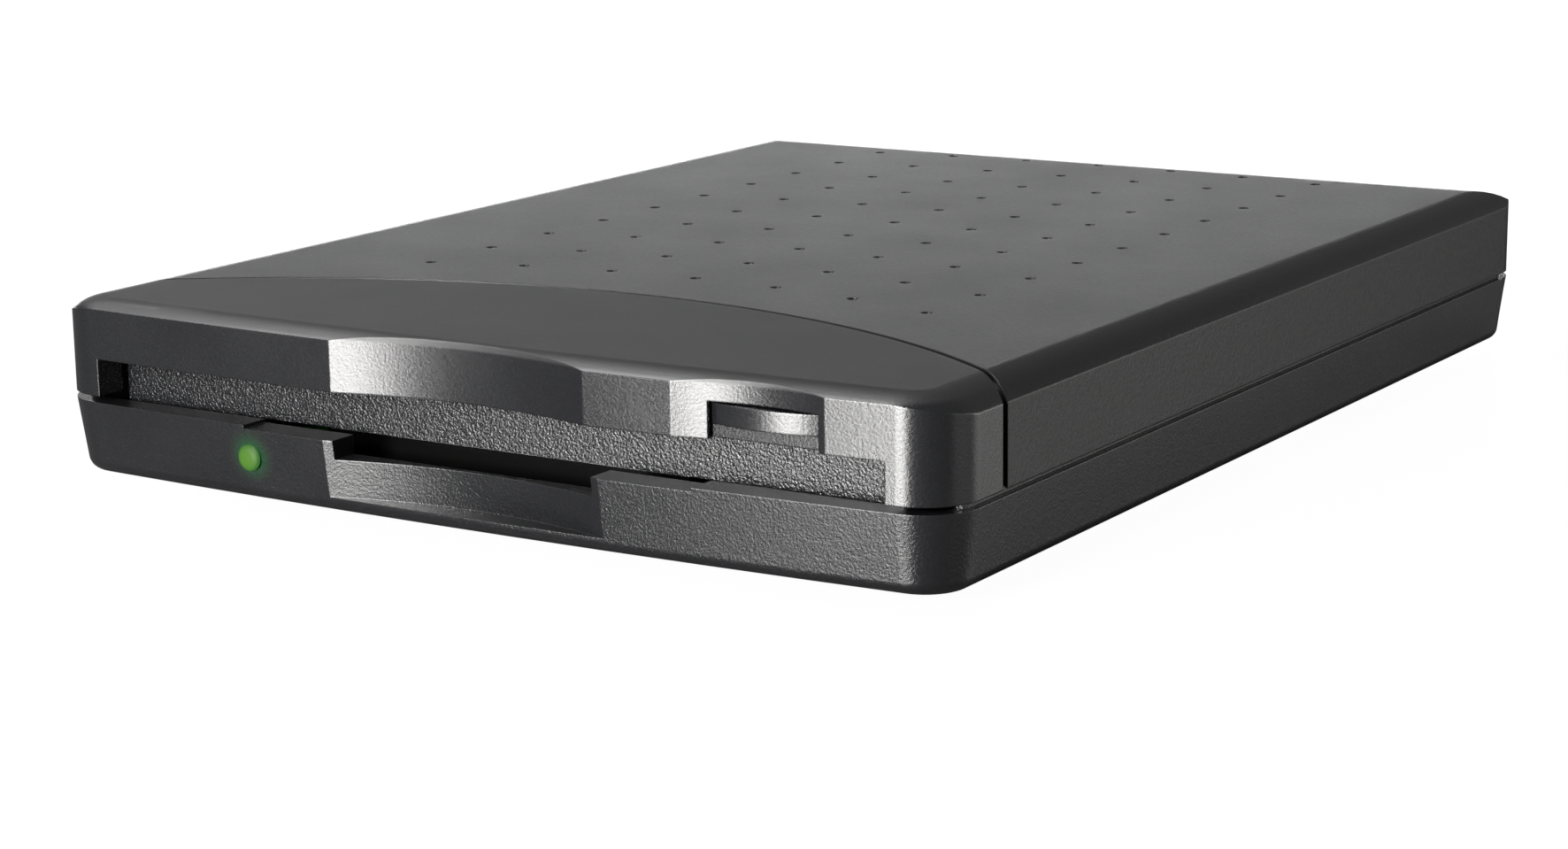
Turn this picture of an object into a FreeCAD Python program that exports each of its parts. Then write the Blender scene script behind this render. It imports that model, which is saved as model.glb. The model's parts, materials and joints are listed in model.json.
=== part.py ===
import FreeCAD, Part
import math
import os
import re
import Sketcher

# External 3.5-inch floppy disk drive: slim two-part shell with its own bezel, a sprung slot door,
# an eject button on a slide plate, a disk carrier that drops onto the spindle, a stepped head
# carriage and a small bus interface board at the back.  Millimetres, +Z up, +Y to the back,
# origin on the standing surface under the middle of the shell.

doc = FreeCAD.newDocument("FloppyDrive")

# ---------------------------------------------------------------- driving dimensions
sizes = {
    # shell
    "footStand": 0.8,           # rubber feet below the shell
    "shellWidth": 103.4,
    "shellDepth": 140.0,
    "shellHeight": 17.8,
    "shellWall": 1.6,
    "cornerRadius": 5.5,        # vertical corners in plan
    "frontBowRadius": 940.0,    # the front and the back bow outwards in plan
    "rearBowRadius": 790.0,
    "edgeRound": 5.3,           # radius along the top edges
    "sideRoundCut": 1.2,        # the side wall cuts the top rounding short and leaves a crease
    "frontRoundCut": 2.5,
    "rearRound": 9.0,
    "partingHeight": 7.55,      # height of the lower half
    "partingGap": 0.65,
    "lapRise": 1.5,             # tongue of the lower half behind the parting gap
    "lapClearance": 0.1,
    "caseTaper": 1.0,           # the lower half narrows towards the bottom
    "caseEdgeRound": 1.4,
    "seamRadius": 79.3,         # arched joint between bezel and cover
    "seamCentre": 119.1,        # distance of its centre in front of the middle
    "seamGap": 0.6,
    "seamLap": 2.4,             # tongue of the bezel under the cover
    # dimples in the cover
    "dimplePitch": 10.0,
    "dimpleRows": 10,
    "dimpleColumns": 7,
    "dimpleRadius": 0.62,
    "dimpleDepth": 0.35,
    "dimpleFirstRadius": 89.5,  # first arc, about the same centre as the seam
    # front
    "slotWidth": 90.8,
    "slotTopHeight": 12.0,
    "bezelWall": 4.5,
    "lipWall": 3.6,
    "lipStep": 0.35,
    "lipStepHalf": 26.0,
    "scallopHalf": 15.0,
    "scallopDepth": 2.2,
    "scallopBottom": 1.5,
    "notchHeight": 5.3,         # finger notch in the lip
    "buttonScallopLeft": 25.0,
    "buttonScallopRight": 40.7,
    "buttonScallopDepth": 1.0,
    "buttonLeft": 27.4,
    "buttonRight": 38.9,
    "buttonTopHeight": 15.25,
    "buttonGap": 0.15,
    "buttonCap": 1.9,           # height of the raised bar of the button
    "buttonBulge": 0.9,
    "buttonStem": 6.6,
    "ledOffset": 25.5,
    "ledHeight": 4.37,
    "ledRadius": 1.3,
    "ledProud": 0.25,
    # feet and shell screws
    "footRadius": 4.0,
    "footRecess": 0.5,
    "footAcross": 76.0,
    "footFront": 50.0,
    "footRear": 52.0,
    "shellScrewAcross": 91.0,
    "shellScrewBack": 63.2,
    "shellBossRadius": 2.8,
    "shellScrewHead": 2.1,
    "shellScrewHeadHeight": 1.2,
    "shellScrewRadius": 1.0,
    "shellScrewLength": 10.5,
    "counterboreDepth": 2.2,
    "bossSplit": 3.6,           # height of the lower boss above the floor
    "screwClearance": 0.15,
    # slot door
    "doorHalf": 45.1,
    "doorThickness": 0.9,
    "doorGap": 0.5,             # behind the bezel wall
    "doorBelowLip": 0.35,
    "doorBarrel": 0.75,
    "doorPinRadius": 0.4,
    "doorPinSetback": 1.2,      # axis behind the door's face
    "doorPinRise": 0.25,        # axis above the top of the slot
    "doorSpringGap": 36.0,
    "doorSpringWidth": 4.0,
    "earHalfWidth": 45.7,
    "pinSeat": 1.8,
    "runningClearance": 0.05,
    # drive frame
    "frameHalf": 48.2,
    "frameFloor": 0.8,
    "frameWall": 1.0,
    "frameLift": 0.2,
    "frameFront": 62.5,
    "frameRear": 59.5,
    "frameWallFront": 58.0,
    "frameWallRear": 45.0,
    "frameInnerHeight": 12.5,
    "frameTab": 3.0,
    "frameTabLength": 7.0,
    "frameTabFront": 50.0,
    "frameTabRear": 38.0,
    "frontFlangeHalf": 21.0,
    "frontFlangeHeight": 4.0,
    "frontFlangeThick": 0.6,
    "frameScrewAcross": 88.0,
    "frameScrewFront": 40.0,
    "frameScrewRear": 30.0,
    "frameScrewHead": 1.8,
    "frameScrewHeadHeight": 0.9,
    "frameScrewRadius": 0.95,
    "topPlateThick": 0.4,
    "armWindowHalf": 8.5,
    "datumPinRadius": 1.5,
    "datumPinAcross": 62.0,
    "datumPinFront": 50.0,
    "datumPinRear": 14.0,
    # disk, carrier and slide
    "diskWidth": 90.0,
    "diskThickness": 3.3,
    "diskRearEdge": 30.5,       # leading edge of a disk that is pushed home
    "hubSetback": 46.0,         # leading edge to the middle of the hub
    "dropTravel": 2.2,
    "ejectTravel": 4.0,
    "carrierFloorRise": 0.05,   # above the lip of the slot
    "carrierInside": 4.25,
    "carrierPlate": 0.6,
    "carrierSideGap": 0.4,
    "carrierFlange": 7.4,
    "carrierFront": 58.3,
    "carrierWindowHalf": 10.0,
    "headWindowMargin": 4.7,    # window in front of the head at its innermost track
    "carrierStopHalf": 34.0,
    "carrierPinRadius": 1.0,
    "carrierPinFront": 45.0,
    "carrierPinRear": 20.0,
    "carrierPinReach": 2.5,
    "slideGap": 0.35,
    "slidePlate": 0.6,
    "slideAbove": 0.85,         # over the top of the carrier
    "slideFront": 58.9,
    "slideRear": 22.0,
    "slideTongue": 3.2,
    "slideLegInner": 37.0,
    "slideLegRear": 40.0,
    "slideFlangeDrop": 6.2,
    "slideStudRadius": 1.0,
    "slideStudFront": 30.0,
    "slideStudRear": 5.0,
    "slideSpringX": 24.0,
    "slideSpringFront": 25.0,
    "slideSpringRear": 1.0,
    "slideSpringRadius": 0.9,
    "slideSpringWire": 0.3,
    "springTurns": 9,
    # latch lever
    "latchX": 30.0,
    "latchY": 41.0,
    "latchPostRadius": 1.5,
    "latchHub": 3.4,
    "latchPlate": 0.8,
    "latchTipX": 17.0,
    "latchTipY": 29.2,
    "latchPegX": 41.0,
    "latchPegY": 36.6,
    "latchPegRadius": 1.0,
    "latchArmWidth": 3.0,
    # spindle
    "rotorRadius": 18.0,
    "rotorRim": 0.7,
    "rotorPlate": 0.6,
    "rotorSkirt": 1.5,
    "hubRadius": 11.0,
    "magnetThick": 1.6,
    "airGap": 0.3,
    "statorThick": 0.6,
    "statorPoles": 12,
    "statorHubRadius": 6.4,
    "poleWidth": 2.0,
    "coilThick": 0.5,
    "spindleRadius": 1.5,
    "spindleNose": 1.3,
    "bearingRadius": 3.5,
    "drivePinRadius": 0.9,
    "drivePinOffset": 8.2,
    "drivePinRise": 1.1,
    # motor board
    "boardThick": 0.8,
    "boardLeft": 44.0,
    "boardRight": 30.0,
    "boardFront": 46.0,
    "boardRear": 8.0,
    "ledStripHalf": 3.5,
    "ledStripFront": 60.0,
    "driverChip": 9.0,
    "chipHeight": 1.0,
    # switches
    "switchX": 36.0,
    "diskInX": 27.0,
    "switchY": 58.2,
    "switchLength": 6.0,
    "switchWidth": 4.0,
    "switchHeight": 2.0,
    "plungerRadius": 0.8,
    "plungerRise": 2.0,
    "plungerTravel": 1.1,
    # head carriage
    "rodX": 11.0,
    "rodRadius": 1.0,
    "rodHeight": 1.45,          # above the frame floor
    "clampLength": 2.2,
    "clampWidth": 9.0,
    "clampSeat": 1.6,
    "sleeveLength": 24.0,
    "sleeveEndGap": 3.0,        # sleeve to the front clamp at the innermost track
    "sleeveStop": 0.1,          # sleeve to the rear clamp at track zero
    "sleeveWall": 1.2,
    "carriageFront": 47.0,
    "carriageRear": 57.0,
    "carriageHalf": 7.0,
    "carriageArmHalf": 5.0,
    "carriageArmLift": 1.0,
    "carriageArmThick": 1.2,
    "headTravel": 14.8,
    "headRadiusTrackZero": 39.0,
    "headWidth": 5.0,
    "armThick": 0.8,
    "armHalf": 4.4,
    "armPinRadius": 0.6,
    "armKnuckle": 1.5,
    "armPinY": 51.5,
    "armPinAboveMedium": 2.4,
    "armLiftAngle": 11.0,
    "earThick": 1.6,
    "armSpringWire": 0.4,
    "armSpringPlay": 0.3,
    "armSpringLength": 2.1,
    "armSpringTurns": 3,
    "armSpringOffset": 2.35,
    # stepper and lead screw
    "stepperX": 24.0,
    "stepperHeight": 5.8,       # axis above the frame floor
    "stepperRadius": 5.2,
    "stepperFront": 50.2,
    "stepperLength": 8.6,
    "screwRadius": 1.5,
    "screwJournal": 0.75,
    "screwLead": 3.75,
    "screwGroove": 0.3,
    "bracketHalf": 6.0,
    "bracketPlate": 0.6,
    "followerEndGap": 2.0,      # follower to the bracket at the innermost track
    "bearingBush": 1.6,
    "followerWidth": 1.8,
    "followerY": 48.4,
    # machine screws
    "machineHead": 1.6,
    "machineHeadHeight": 0.6,
    "machineRadius": 0.8,
    "machineLength": 1.4,
    # interface board and socket
    "linkBoardHalf": 42.0,
    "linkBoardFront": 60.0,
    "linkBoardRear": 66.2,
    "linkBoardLift": 0.6,
    "socketWidth": 7.7,
    "socketHeight": 3.9,
    "socketLength": 9.0,
    "socketPlate": 0.35,
    "socketX": 0.0,
    "socketShoulder": 0.6,      # mouth of the socket behind the rear wall's face
    "socketOpeningGap": 0.3,
    "tongueWidth": 3.6,
    "tongueThick": 1.0,
    "linkScrewLeftSide": 26.0,
    "linkScrewRightSide": 36.0,
    "linkScrewBack": 63.5,
    "ribbonX": 37.0,
    "ribbonWidth": 8.0,
    "ribbonThick": 0.2,
    "ribbonSocketLength": 3.0,
    "ribbonSocketHeight": 1.0,
    "ribbonSocketMargin": 1.0,
}

sheet = doc.addObject("Spreadsheet::Sheet", "Sizes")
for row, (alias, value) in enumerate(sizes.items(), start=1):
    sheet.set(f"A{row}", alias)
    sheet.set(f"B{row}", str(value))
    sheet.setAlias(f"B{row}", alias)

# ---------------------------------------------------------------- levels worked out from them
levels = {
    "partingLevel": "footStand + partingHeight",
    "upperBottom": "partingLevel + partingGap",
    "shellTop": "footStand + shellHeight",
    "slotTop": "footStand + slotTopHeight",
    "floorTop": "footStand + shellWall",
    "ceiling": "shellTop - shellWall",
    "frontFace": "-shellDepth / 2",
    "scallopRadius": "(scallopHalf ^ 2 + scallopDepth ^ 2) / (2 * scallopDepth)",
    "scallopCentre": "frontFace + scallopDepth - scallopRadius",
    "rearFace": "shellDepth / 2",
    "bezelBack": "frontFace + bezelWall",
    "lipBack": "frontFace + lipWall",
    "slotHalf": "slotWidth / 2",
    "doorFace": "bezelBack + doorGap",
    "doorAxisY": "doorFace + doorPinSetback",
    "doorAxisZ": "slotTop + doorPinRise",
    "doorBottom": "partingLevel - doorBelowLip",
    "frameBottom": "floorTop + frameLift",
    "frameTop": "frameBottom + frameFloor",
    "frameWallTop": "frameTop + frameInnerHeight",
    "frameInside": "frameHalf - frameWall",
    "carrierFloor": "partingLevel + carrierFloorRise",
    "carrierCeiling": "carrierFloor + carrierInside",
    "carrierTop": "carrierCeiling + carrierPlate",
    "carrierInner": "diskWidth / 2 + carrierSideGap",
    "carrierOuter": "carrierInner + carrierPlate",
    "carrierRear": "diskRearEdge + carrierPlate + 0.1",
    "carrierPinZ": "(carrierFloor + carrierCeiling) / 2",
    "slideInner": "carrierOuter + slideGap",
    "slideOuter": "slideInner + slidePlate",
    "slideBottom": "carrierTop + slideAbove",
    "slideTop": "slideBottom + slidePlate",
    "diskLow": "carrierFloor + 0.05 - dropTravel",
    "mediumLevel": "diskLow + diskThickness / 2",
    "spindleY": "diskRearEdge - hubSetback",
    "hubTop": "diskLow + 0.35",
    "rotorTop": "diskLow - 0.4",
    "rotorBottom": "rotorTop - rotorPlate - rotorSkirt",
    "boardTop": "frameTop + boardThick",
    "rodZ": "frameTop + rodHeight",
    "headY": "spindleY + headRadiusTrackZero",
    "armPinZ": "mediumLevel + armPinAboveMedium",
    "carrierWindowFront": "headY - headTravel - headWidth / 2 - headWindowMargin",
    "sleeveFront": "carriageRear - sleeveLength",
    "rodFront": "sleeveFront - headTravel - sleeveEndGap - clampLength",
    "rodRear": "carriageRear + sleeveStop + clampLength",
    "bracketFront": "followerY - headTravel - followerEndGap",
    "screwZ": "frameTop + stepperHeight",
    "linkBoardBottom": "floorTop + linkBoardLift",
    "linkBoardTop": "linkBoardBottom + boardThick",
    "socketTop": "linkBoardTop + socketHeight",
    "socketRear": "rearFace - socketShoulder",
    "linkScrewLeft": "-linkScrewLeftSide",
    "linkScrewRight": "linkScrewRightSide",
    "linkScrewY": "linkScrewBack",
}

# Plan outlines of the shell: how far each lies inside the widest one at the side, front and back.
outlines = {
    "outer": ("0", "0", "0", "cornerRadius"),
    "middle": ("shellWall / 2", "shellWall / 2", "shellWall / 2", "cornerRadius - shellWall / 2"),
    "inner": ("shellWall", "shellWall", "shellWall", "cornerRadius - shellWall"),
    "lap": ("shellWall / 2 + lapClearance", "shellWall / 2 + lapClearance", "shellWall / 2 + lapClearance",
            "cornerRadius - shellWall / 2 - lapClearance"),
    "base": ("caseTaper", "caseTaper", "caseTaper", "cornerRadius - caseTaper"),
    "innerBase": ("shellWall + caseTaper", "shellWall + caseTaper", "shellWall + caseTaper",
                  "cornerRadius - shellWall - caseTaper"),
}
for key, inset in (("outer", "0"), ("middle", "shellWall / 2"), ("inner", "shellWall")):
    outlines[key + "Grown"] = (f"{inset} - sideRoundCut", f"{inset} - frontRoundCut",
                               f"{inset} - shellWidth / 8",
                               f"cornerRadius + (sideRoundCut + frontRoundCut) / 2 - {inset}")
    levels[key + "Round"] = f"edgeRound - {inset}"
    levels[key + "RearRound"] = f"rearRound - {inset}"
    levels[key + "Top"] = f"shellTop - {inset}"
    levels[key + "Rear"] = f"rearFace - {inset}"
for key, (side, front, rear, corner) in outlines.items():
    levels[key + "Half"] = f"shellWidth / 2 - ({side})"
    levels[key + "FrontBow"] = f"frontBowRadius - ({front})"
    levels[key + "RearBow"] = f"rearBowRadius - ({rear})"
    levels[key + "Corner"] = corner
levels["frontBowCentre"] = "frontFace + frontBowRadius"
levels["rearBowCentre"] = "rearFace - rearBowRadius"

levelSheet = doc.addObject("Spreadsheet::Sheet", "Levels")


def bound(expression):
    """Write the sheet's name in front of every size and level in an expression."""
    def qualify(match):
        word = match.group(0)
        if word in sizes:
            return "Sizes." + word
        if word in levels:
            return "Levels." + word
        return word
    return re.sub(r"[A-Za-z][A-Za-z0-9]*", qualify, str(expression))


for row, (alias, formula) in enumerate(levels.items(), start=1):
    levelSheet.set(f"A{row}", alias)
    levelSheet.set(f"B{row}", "=" + bound(formula))
    levelSheet.setAlias(f"B{row}", alias)
doc.recompute()


def size(alias):
    """Present number in one cell of either sheet."""
    return float(getattr(sheet if alias in sizes else levelSheet, alias))


# ---------------------------------------------------------------- building helpers
nodes = []
drawn = {}


def unique(name):
    drawn[name] = drawn.get(name, 0) + 1
    return name if drawn[name] == 1 else f"{name}_{drawn[name]}"


def bind(item, **expressions):
    for prop, expression in expressions.items():
        item.setExpression(prop.replace("_", "."), bound(expression))
    return item


def put(item, x="0", y="0", z="0"):
    for axis, expression in zip("xyz", (x, y, z)):
        item.setExpression(f"Placement.Base.{axis}", bound(expression))
    return item


def box(name, x, y, z):
    """Box between two expressions along each axis."""
    item = doc.addObject("Part::Box", unique(name))
    bind(item, Length=f"({x[1]}) - ({x[0]})", Width=f"({y[1]}) - ({y[0]})", Height=f"({z[1]}) - ({z[0]})")
    return put(item, x[0], y[0], z[0])


turns = {
    "X": FreeCAD.Rotation(FreeCAD.Vector(0, 1, 0), 90),
    "Y": FreeCAD.Rotation(FreeCAD.Vector(1, 0, 0), -90),
    "Z": FreeCAD.Rotation(),
}


def rod(name, radius, x, y, span, along="Z"):
    """Cylinder along one axis; x and y are its centre on the other two axes, in X, Y, Z order."""
    item = doc.addObject("Part::Cylinder", unique(name))
    bind(item, Radius=radius, Height=f"({span[1]}) - ({span[0]})")
    item.Placement = FreeCAD.Placement(FreeCAD.Vector(), turns[along])
    if along == "X":
        return put(item, span[0], x, y)
    if along == "Y":
        return put(item, x, span[0], y)
    return put(item, x, y, span[0])


def fuse(name, *items):
    item = doc.addObject("Part::MultiFuse", unique(name))
    item.Shapes = list(items)
    item.Refine = True
    return item


def common(name, *items):
    item = doc.addObject("Part::MultiCommon", unique(name))
    item.Shapes = list(items)
    return item


def cut(name, base, *tools):
    item = doc.addObject("Part::Cut", unique(name))
    item.Base = base
    item.Tool = tools[0] if len(tools) == 1 else fuse(name + "Tools", *tools)
    return item


def group(name, *items):
    """Separate solids that share one node."""
    item = doc.addObject("Part::Compound", unique(name))
    item.Links = list(items)
    return item


def node(label, item):
    item.Label = label
    nodes.append(item)
    return item


def roundEdges(name, base, radius, wanted):
    """Fillet the edges of a base whose middle point passes the test."""
    doc.recompute()
    item = doc.addObject("Part::Fillet", unique(name))
    item.Base = base
    picked = []
    for index, edge in enumerate(base.Shape.Edges, start=1):
        middle = edge.valueAt((edge.FirstParameter + edge.LastParameter) / 2)
        if wanted(middle):
            picked.append((index, radius, radius))
    item.Edges = picked
    return item


def lineSketch(sketch, points):
    """Closed polygon whose corners are held by expressions; it starts as a small regular polygon."""
    count = len(points)
    start = [FreeCAD.Vector(math.cos(2 * math.pi * step / count), math.sin(2 * math.pi * step / count), 0)
             for step in range(count)]
    for index in range(count):
        sketch.addGeometry(Part.LineSegment(start[index], start[(index + 1) % count]))
    for index in range(count):
        sketch.addConstraint(Sketcher.Constraint("Coincident", index, 2, (index + 1) % count, 1))
    for index, (x, y) in enumerate(points):
        across = sketch.addConstraint(Sketcher.Constraint("DistanceX", index, 1, start[index].x))
        sketch.setExpression(f"Constraints[{across}]", bound(x))
        along = sketch.addConstraint(Sketcher.Constraint("DistanceY", index, 1, start[index].y))
        sketch.setExpression(f"Constraints[{along}]", bound(y))
    return sketch


def originPlane(body, role):
    return next(feature for feature in body.Origin.OriginFeatures if feature.Role == role)


def turned(label, profile, x, y, z, along="Z"):
    """Body of revolution; the profile is pairs of radius and height."""
    body = doc.addObject("PartDesign::Body", unique("Turned"))
    sketch = body.newObject("Sketcher::SketchObject", unique("Profile"))
    sketch.AttachmentSupport = [(originPlane(body, "XZ_Plane"), "")]
    sketch.MapMode = "FlatFace"
    lineSketch(sketch, profile)
    revolution = body.newObject("PartDesign::Revolution", unique("Spin"))
    revolution.Profile = sketch
    revolution.ReferenceAxis = (sketch, ["V_Axis"])
    revolution.Angle = 360
    body.Placement = FreeCAD.Placement(FreeCAD.Vector(), turns[along])
    put(body, x, y, z)
    body.Label = label
    return body


def plate(label, outline, thickness, x, y, z):
    """Flat body padded up from a polygon."""
    body = doc.addObject("PartDesign::Body", unique("Plate"))
    sketch = body.newObject("Sketcher::SketchObject", unique("Outline"))
    sketch.AttachmentSupport = [(originPlane(body, "XY_Plane"), "")]
    sketch.MapMode = "FlatFace"
    lineSketch(sketch, outline)
    pad = body.newObject("PartDesign::Pad", unique("Pad"))
    pad.Profile = sketch
    bind(pad, Length=thickness)
    put(body, x, y, z)
    body.Label = label
    return body


def outline(key, level):
    """Plan outline: straight sides, bowed front and back, and four round corners, all tangent."""
    half, corner = size(key + "Half"), size(key + "Corner")
    front, rear = size(key + "FrontBow"), size(key + "RearBow")
    frontCentre, rearCentre = size("frontBowCentre"), size("rearBowCentre")
    reach = half - corner
    frontY = frontCentre - math.sqrt((front - corner) ** 2 - reach ** 2)
    rearY = rearCentre + math.sqrt((rear - corner) ** 2 - reach ** 2)
    rearTurn = math.atan2(rearY - rearCentre, reach)
    frontTurn = math.atan2(frontCentre - frontY, reach)
    sketch = doc.addObject("Sketcher::SketchObject", unique(key + "Outline"))

    def arc(x, y, radius, begin, end):
        circle = Part.Circle(FreeCAD.Vector(x, y, 0), FreeCAD.Vector(0, 0, 1), radius)
        sketch.addGeometry(Part.ArcOfCircle(circle, begin, end))

    def side(x, begin, end):
        sketch.addGeometry(Part.LineSegment(FreeCAD.Vector(x, begin, 0), FreeCAD.Vector(x, end, 0)))

    side(half, frontY, rearY)
    arc(reach, rearY, corner, 0, rearTurn)
    arc(0, rearCentre, rear, rearTurn, math.pi - rearTurn)
    arc(-reach, rearY, corner, math.pi - rearTurn, math.pi)
    side(-half, rearY, frontY)
    arc(-reach, frontY, corner, math.pi, math.pi + frontTurn)
    arc(0, frontCentre, front, math.pi + frontTurn, 2 * math.pi - frontTurn)
    arc(reach, frontY, corner, 2 * math.pi - frontTurn, 2 * math.pi)
    for index in range(8):
        sketch.addConstraint(Sketcher.Constraint("Tangent", index, 2, (index + 1) % 8, 1))
    for index in (0, 4):
        sketch.addConstraint(Sketcher.Constraint("Vertical", index))
    for index, centre in ((2, "rearBowCentre"), (6, "frontBowCentre")):
        sketch.addConstraint(Sketcher.Constraint("PointOnObject", index, 3, -2))
        held = sketch.addConstraint(Sketcher.Constraint("DistanceY", index, 3, size(centre)))
        sketch.setExpression(f"Constraints[{held}]", bound(centre))
    for index, bow in ((2, "RearBow"), (6, "FrontBow")):
        held = sketch.addConstraint(Sketcher.Constraint("Radius", index, size(key + bow)))
        sketch.setExpression(f"Constraints[{held}]", bound(key + bow))
    for index in (1, 3, 5, 7):
        held = sketch.addConstraint(Sketcher.Constraint("Radius", index, corner))
        sketch.setExpression(f"Constraints[{held}]", bound(key + "Corner"))
    for index, sign in ((0, ""), (4, "-")):
        held = sketch.addConstraint(Sketcher.Constraint("DistanceX", index, 1, half if index == 0 else -half))
        sketch.setExpression(f"Constraints[{held}]", bound(sign + key + "Half"))
    return put(sketch, z=level)


def prism(key, bottom, top):
    """Upright block over one outline."""
    item = doc.addObject("Part::Extrusion", unique(key + "Prism"))
    item.Base = outline(key, bottom)
    item.DirMode = "Custom"
    item.Dir = FreeCAD.Vector(0, 0, 1)
    item.Solid = True
    return bind(item, LengthFwd=f"({top}) - ({bottom})")


def upperSolid(key, bottom):
    """Upper half, solid, with the edges of its top rounded and cut short by the walls."""
    top = key + "Top"
    block = prism(key + "Grown", bottom, top)
    rounded = roundEdges(key + "Rounded", block, size(key + "Round"), lambda spot: spot.z > size(top) - 0.01)
    slab = box(key + "Slab", ("-shellWidth", "shellWidth"), ("-shellDepth", key + "Rear"), ("0", top))
    back = roundEdges(key + "Back", slab, size(key + "RearRound"),
                      lambda spot: spot.z > size(top) - 0.01 and spot.y > size(key + "Rear") - 0.01)
    return common(key + "Upper", prism(key, bottom, top), rounded, back)


def lowerSolid(name, bottomKey, topKey, bottom, top):
    """Lower half, solid, narrowing towards the bottom."""
    item = doc.addObject("Part::Loft", unique(name))
    item.Sections = [outline(bottomKey, bottom), outline(topKey, top)]
    item.Solid = True
    item.Ruled = True
    return item


def shellHalves(name, span):
    """Outer and inner half of the upper wall's thickness; the inner half starts above the lap."""
    lapTop = "upperBottom + lapRise - partingGap + lapClearance"
    skin = cut(name + "Skin", upperSolid("outer", "upperBottom"), upperSolid("middle", "partingLevel"))
    lining = cut(name + "Lining", upperSolid("middle", lapTop), upperSolid("inner", "partingLevel"))
    return common(name + "SkinPart", skin, span[0]), common(name + "LiningPart", lining, span[1])


def seamDrum(name, radius):
    """Upright drum whose side is the arched joint between bezel and cover."""
    return rod(name, radius, "0", "-seamCentre", ("0", "shellTop + 1"))


def outsideSeam(name, radius):
    """Everything behind the arched joint."""
    slab = box(name, ("-shellWidth", "shellWidth"), ("-shellDepth", "shellDepth"), ("0", "shellTop + 1"))
    return cut(name + "Behind", slab, seamDrum(name + "Drum", radius))


def scallops():
    """Hollows ground into the bezel's front: a wide one in the middle, a narrow one round the button."""
    wide = rod("WideScallop", "scallopRadius", "0", "scallopCentre", ("upperBottom - 1", "shellTop + 1"))
    middle = "(buttonScallopLeft + buttonScallopRight) / 2"
    half = "(buttonScallopRight - buttonScallopLeft) / 2"
    front = f"frontFace + ({middle}) ^ 2 / (2 * frontBowRadius)"
    radius = f"((({half}) ^ 2 + buttonScallopDepth ^ 2) / (2 * buttonScallopDepth))"
    narrow = rod("ButtonScallop", radius, middle, f"{front} + buttonScallopDepth - {radius}",
                 ("upperBottom", "shellTop + 1"))
    return wide, narrow


def leaningScallop():
    """The wide hollow goes on down the lower half, leaning back with its wall."""
    lean = "caseTaper / partingHeight"
    below = f"(scallopRadius * {lean} + 1)"
    drum = doc.addObject("Part::Cylinder", "LeaningScallop")
    bind(drum, Radius="scallopRadius", Height=f"partingHeight + {below} + 1")
    drum.Placement = FreeCAD.Placement(FreeCAD.Vector(), FreeCAD.Rotation(FreeCAD.Vector(1, 0, 0), 1))
    bind(drum, Placement_Rotation_Angle=f"atan({lean})")
    put(drum, "0", f"scallopCentre + caseTaper + {below} * {lean}", f"footStand - {below}")
    return common("CaseScallop", drum, box("ScallopSpan", ("-scallopHalf - 1", "scallopHalf + 1"),
                                           ("-shellDepth", "frontFace + scallopDepth + caseTaper + 1"),
                                           ("footStand + scallopBottom", "partingLevel + 1")))


# ---------------------------------------------------------------- shell
def topCover():
    skin, lining = shellHalves("Cover", (outsideSeam("CoverSkin", "seamRadius + seamGap / 2"),
                                         outsideSeam("CoverLining", "seamRadius + seamLap + lapClearance")))
    bosses = [common("CoverBoss", rod("Boss", "shellBossRadius", f"{sign} shellScrewAcross / 2",
                                      "shellScrewBack",
                                      ("floorTop + bossSplit", "ceiling + shellWall / 4")),
                     upperSolid("middle", "0")) for sign in ("", "-")]
    pilots = [rod("Pilot", "shellScrewRadius", f"{sign} shellScrewAcross / 2", "shellScrewBack",
                  ("floorTop + bossSplit - 1", "floorTop + shellScrewLength - 1")) for sign in ("", "-")]
    dimples = []
    for column in range(int(size("dimpleColumns"))):
        across = f"dimplePitch * ({column} - (dimpleColumns - 1) / 2)"
        for row in range(int(size("dimpleRows"))):
            radius = f"(dimpleFirstRadius + dimplePitch * {row})"
            dimples.append(rod("Dimple", "dimpleRadius", across,
                               f"sqrt({radius} ^ 2 - ({across}) ^ 2) - seamCentre",
                               ("shellTop - dimpleDepth", "shellTop + 1")))
    shell = fuse("CoverShell", skin, lining, *bosses)
    return node("top_cover", cut("TopCover", shell, *pilots, *dimples))


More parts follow.
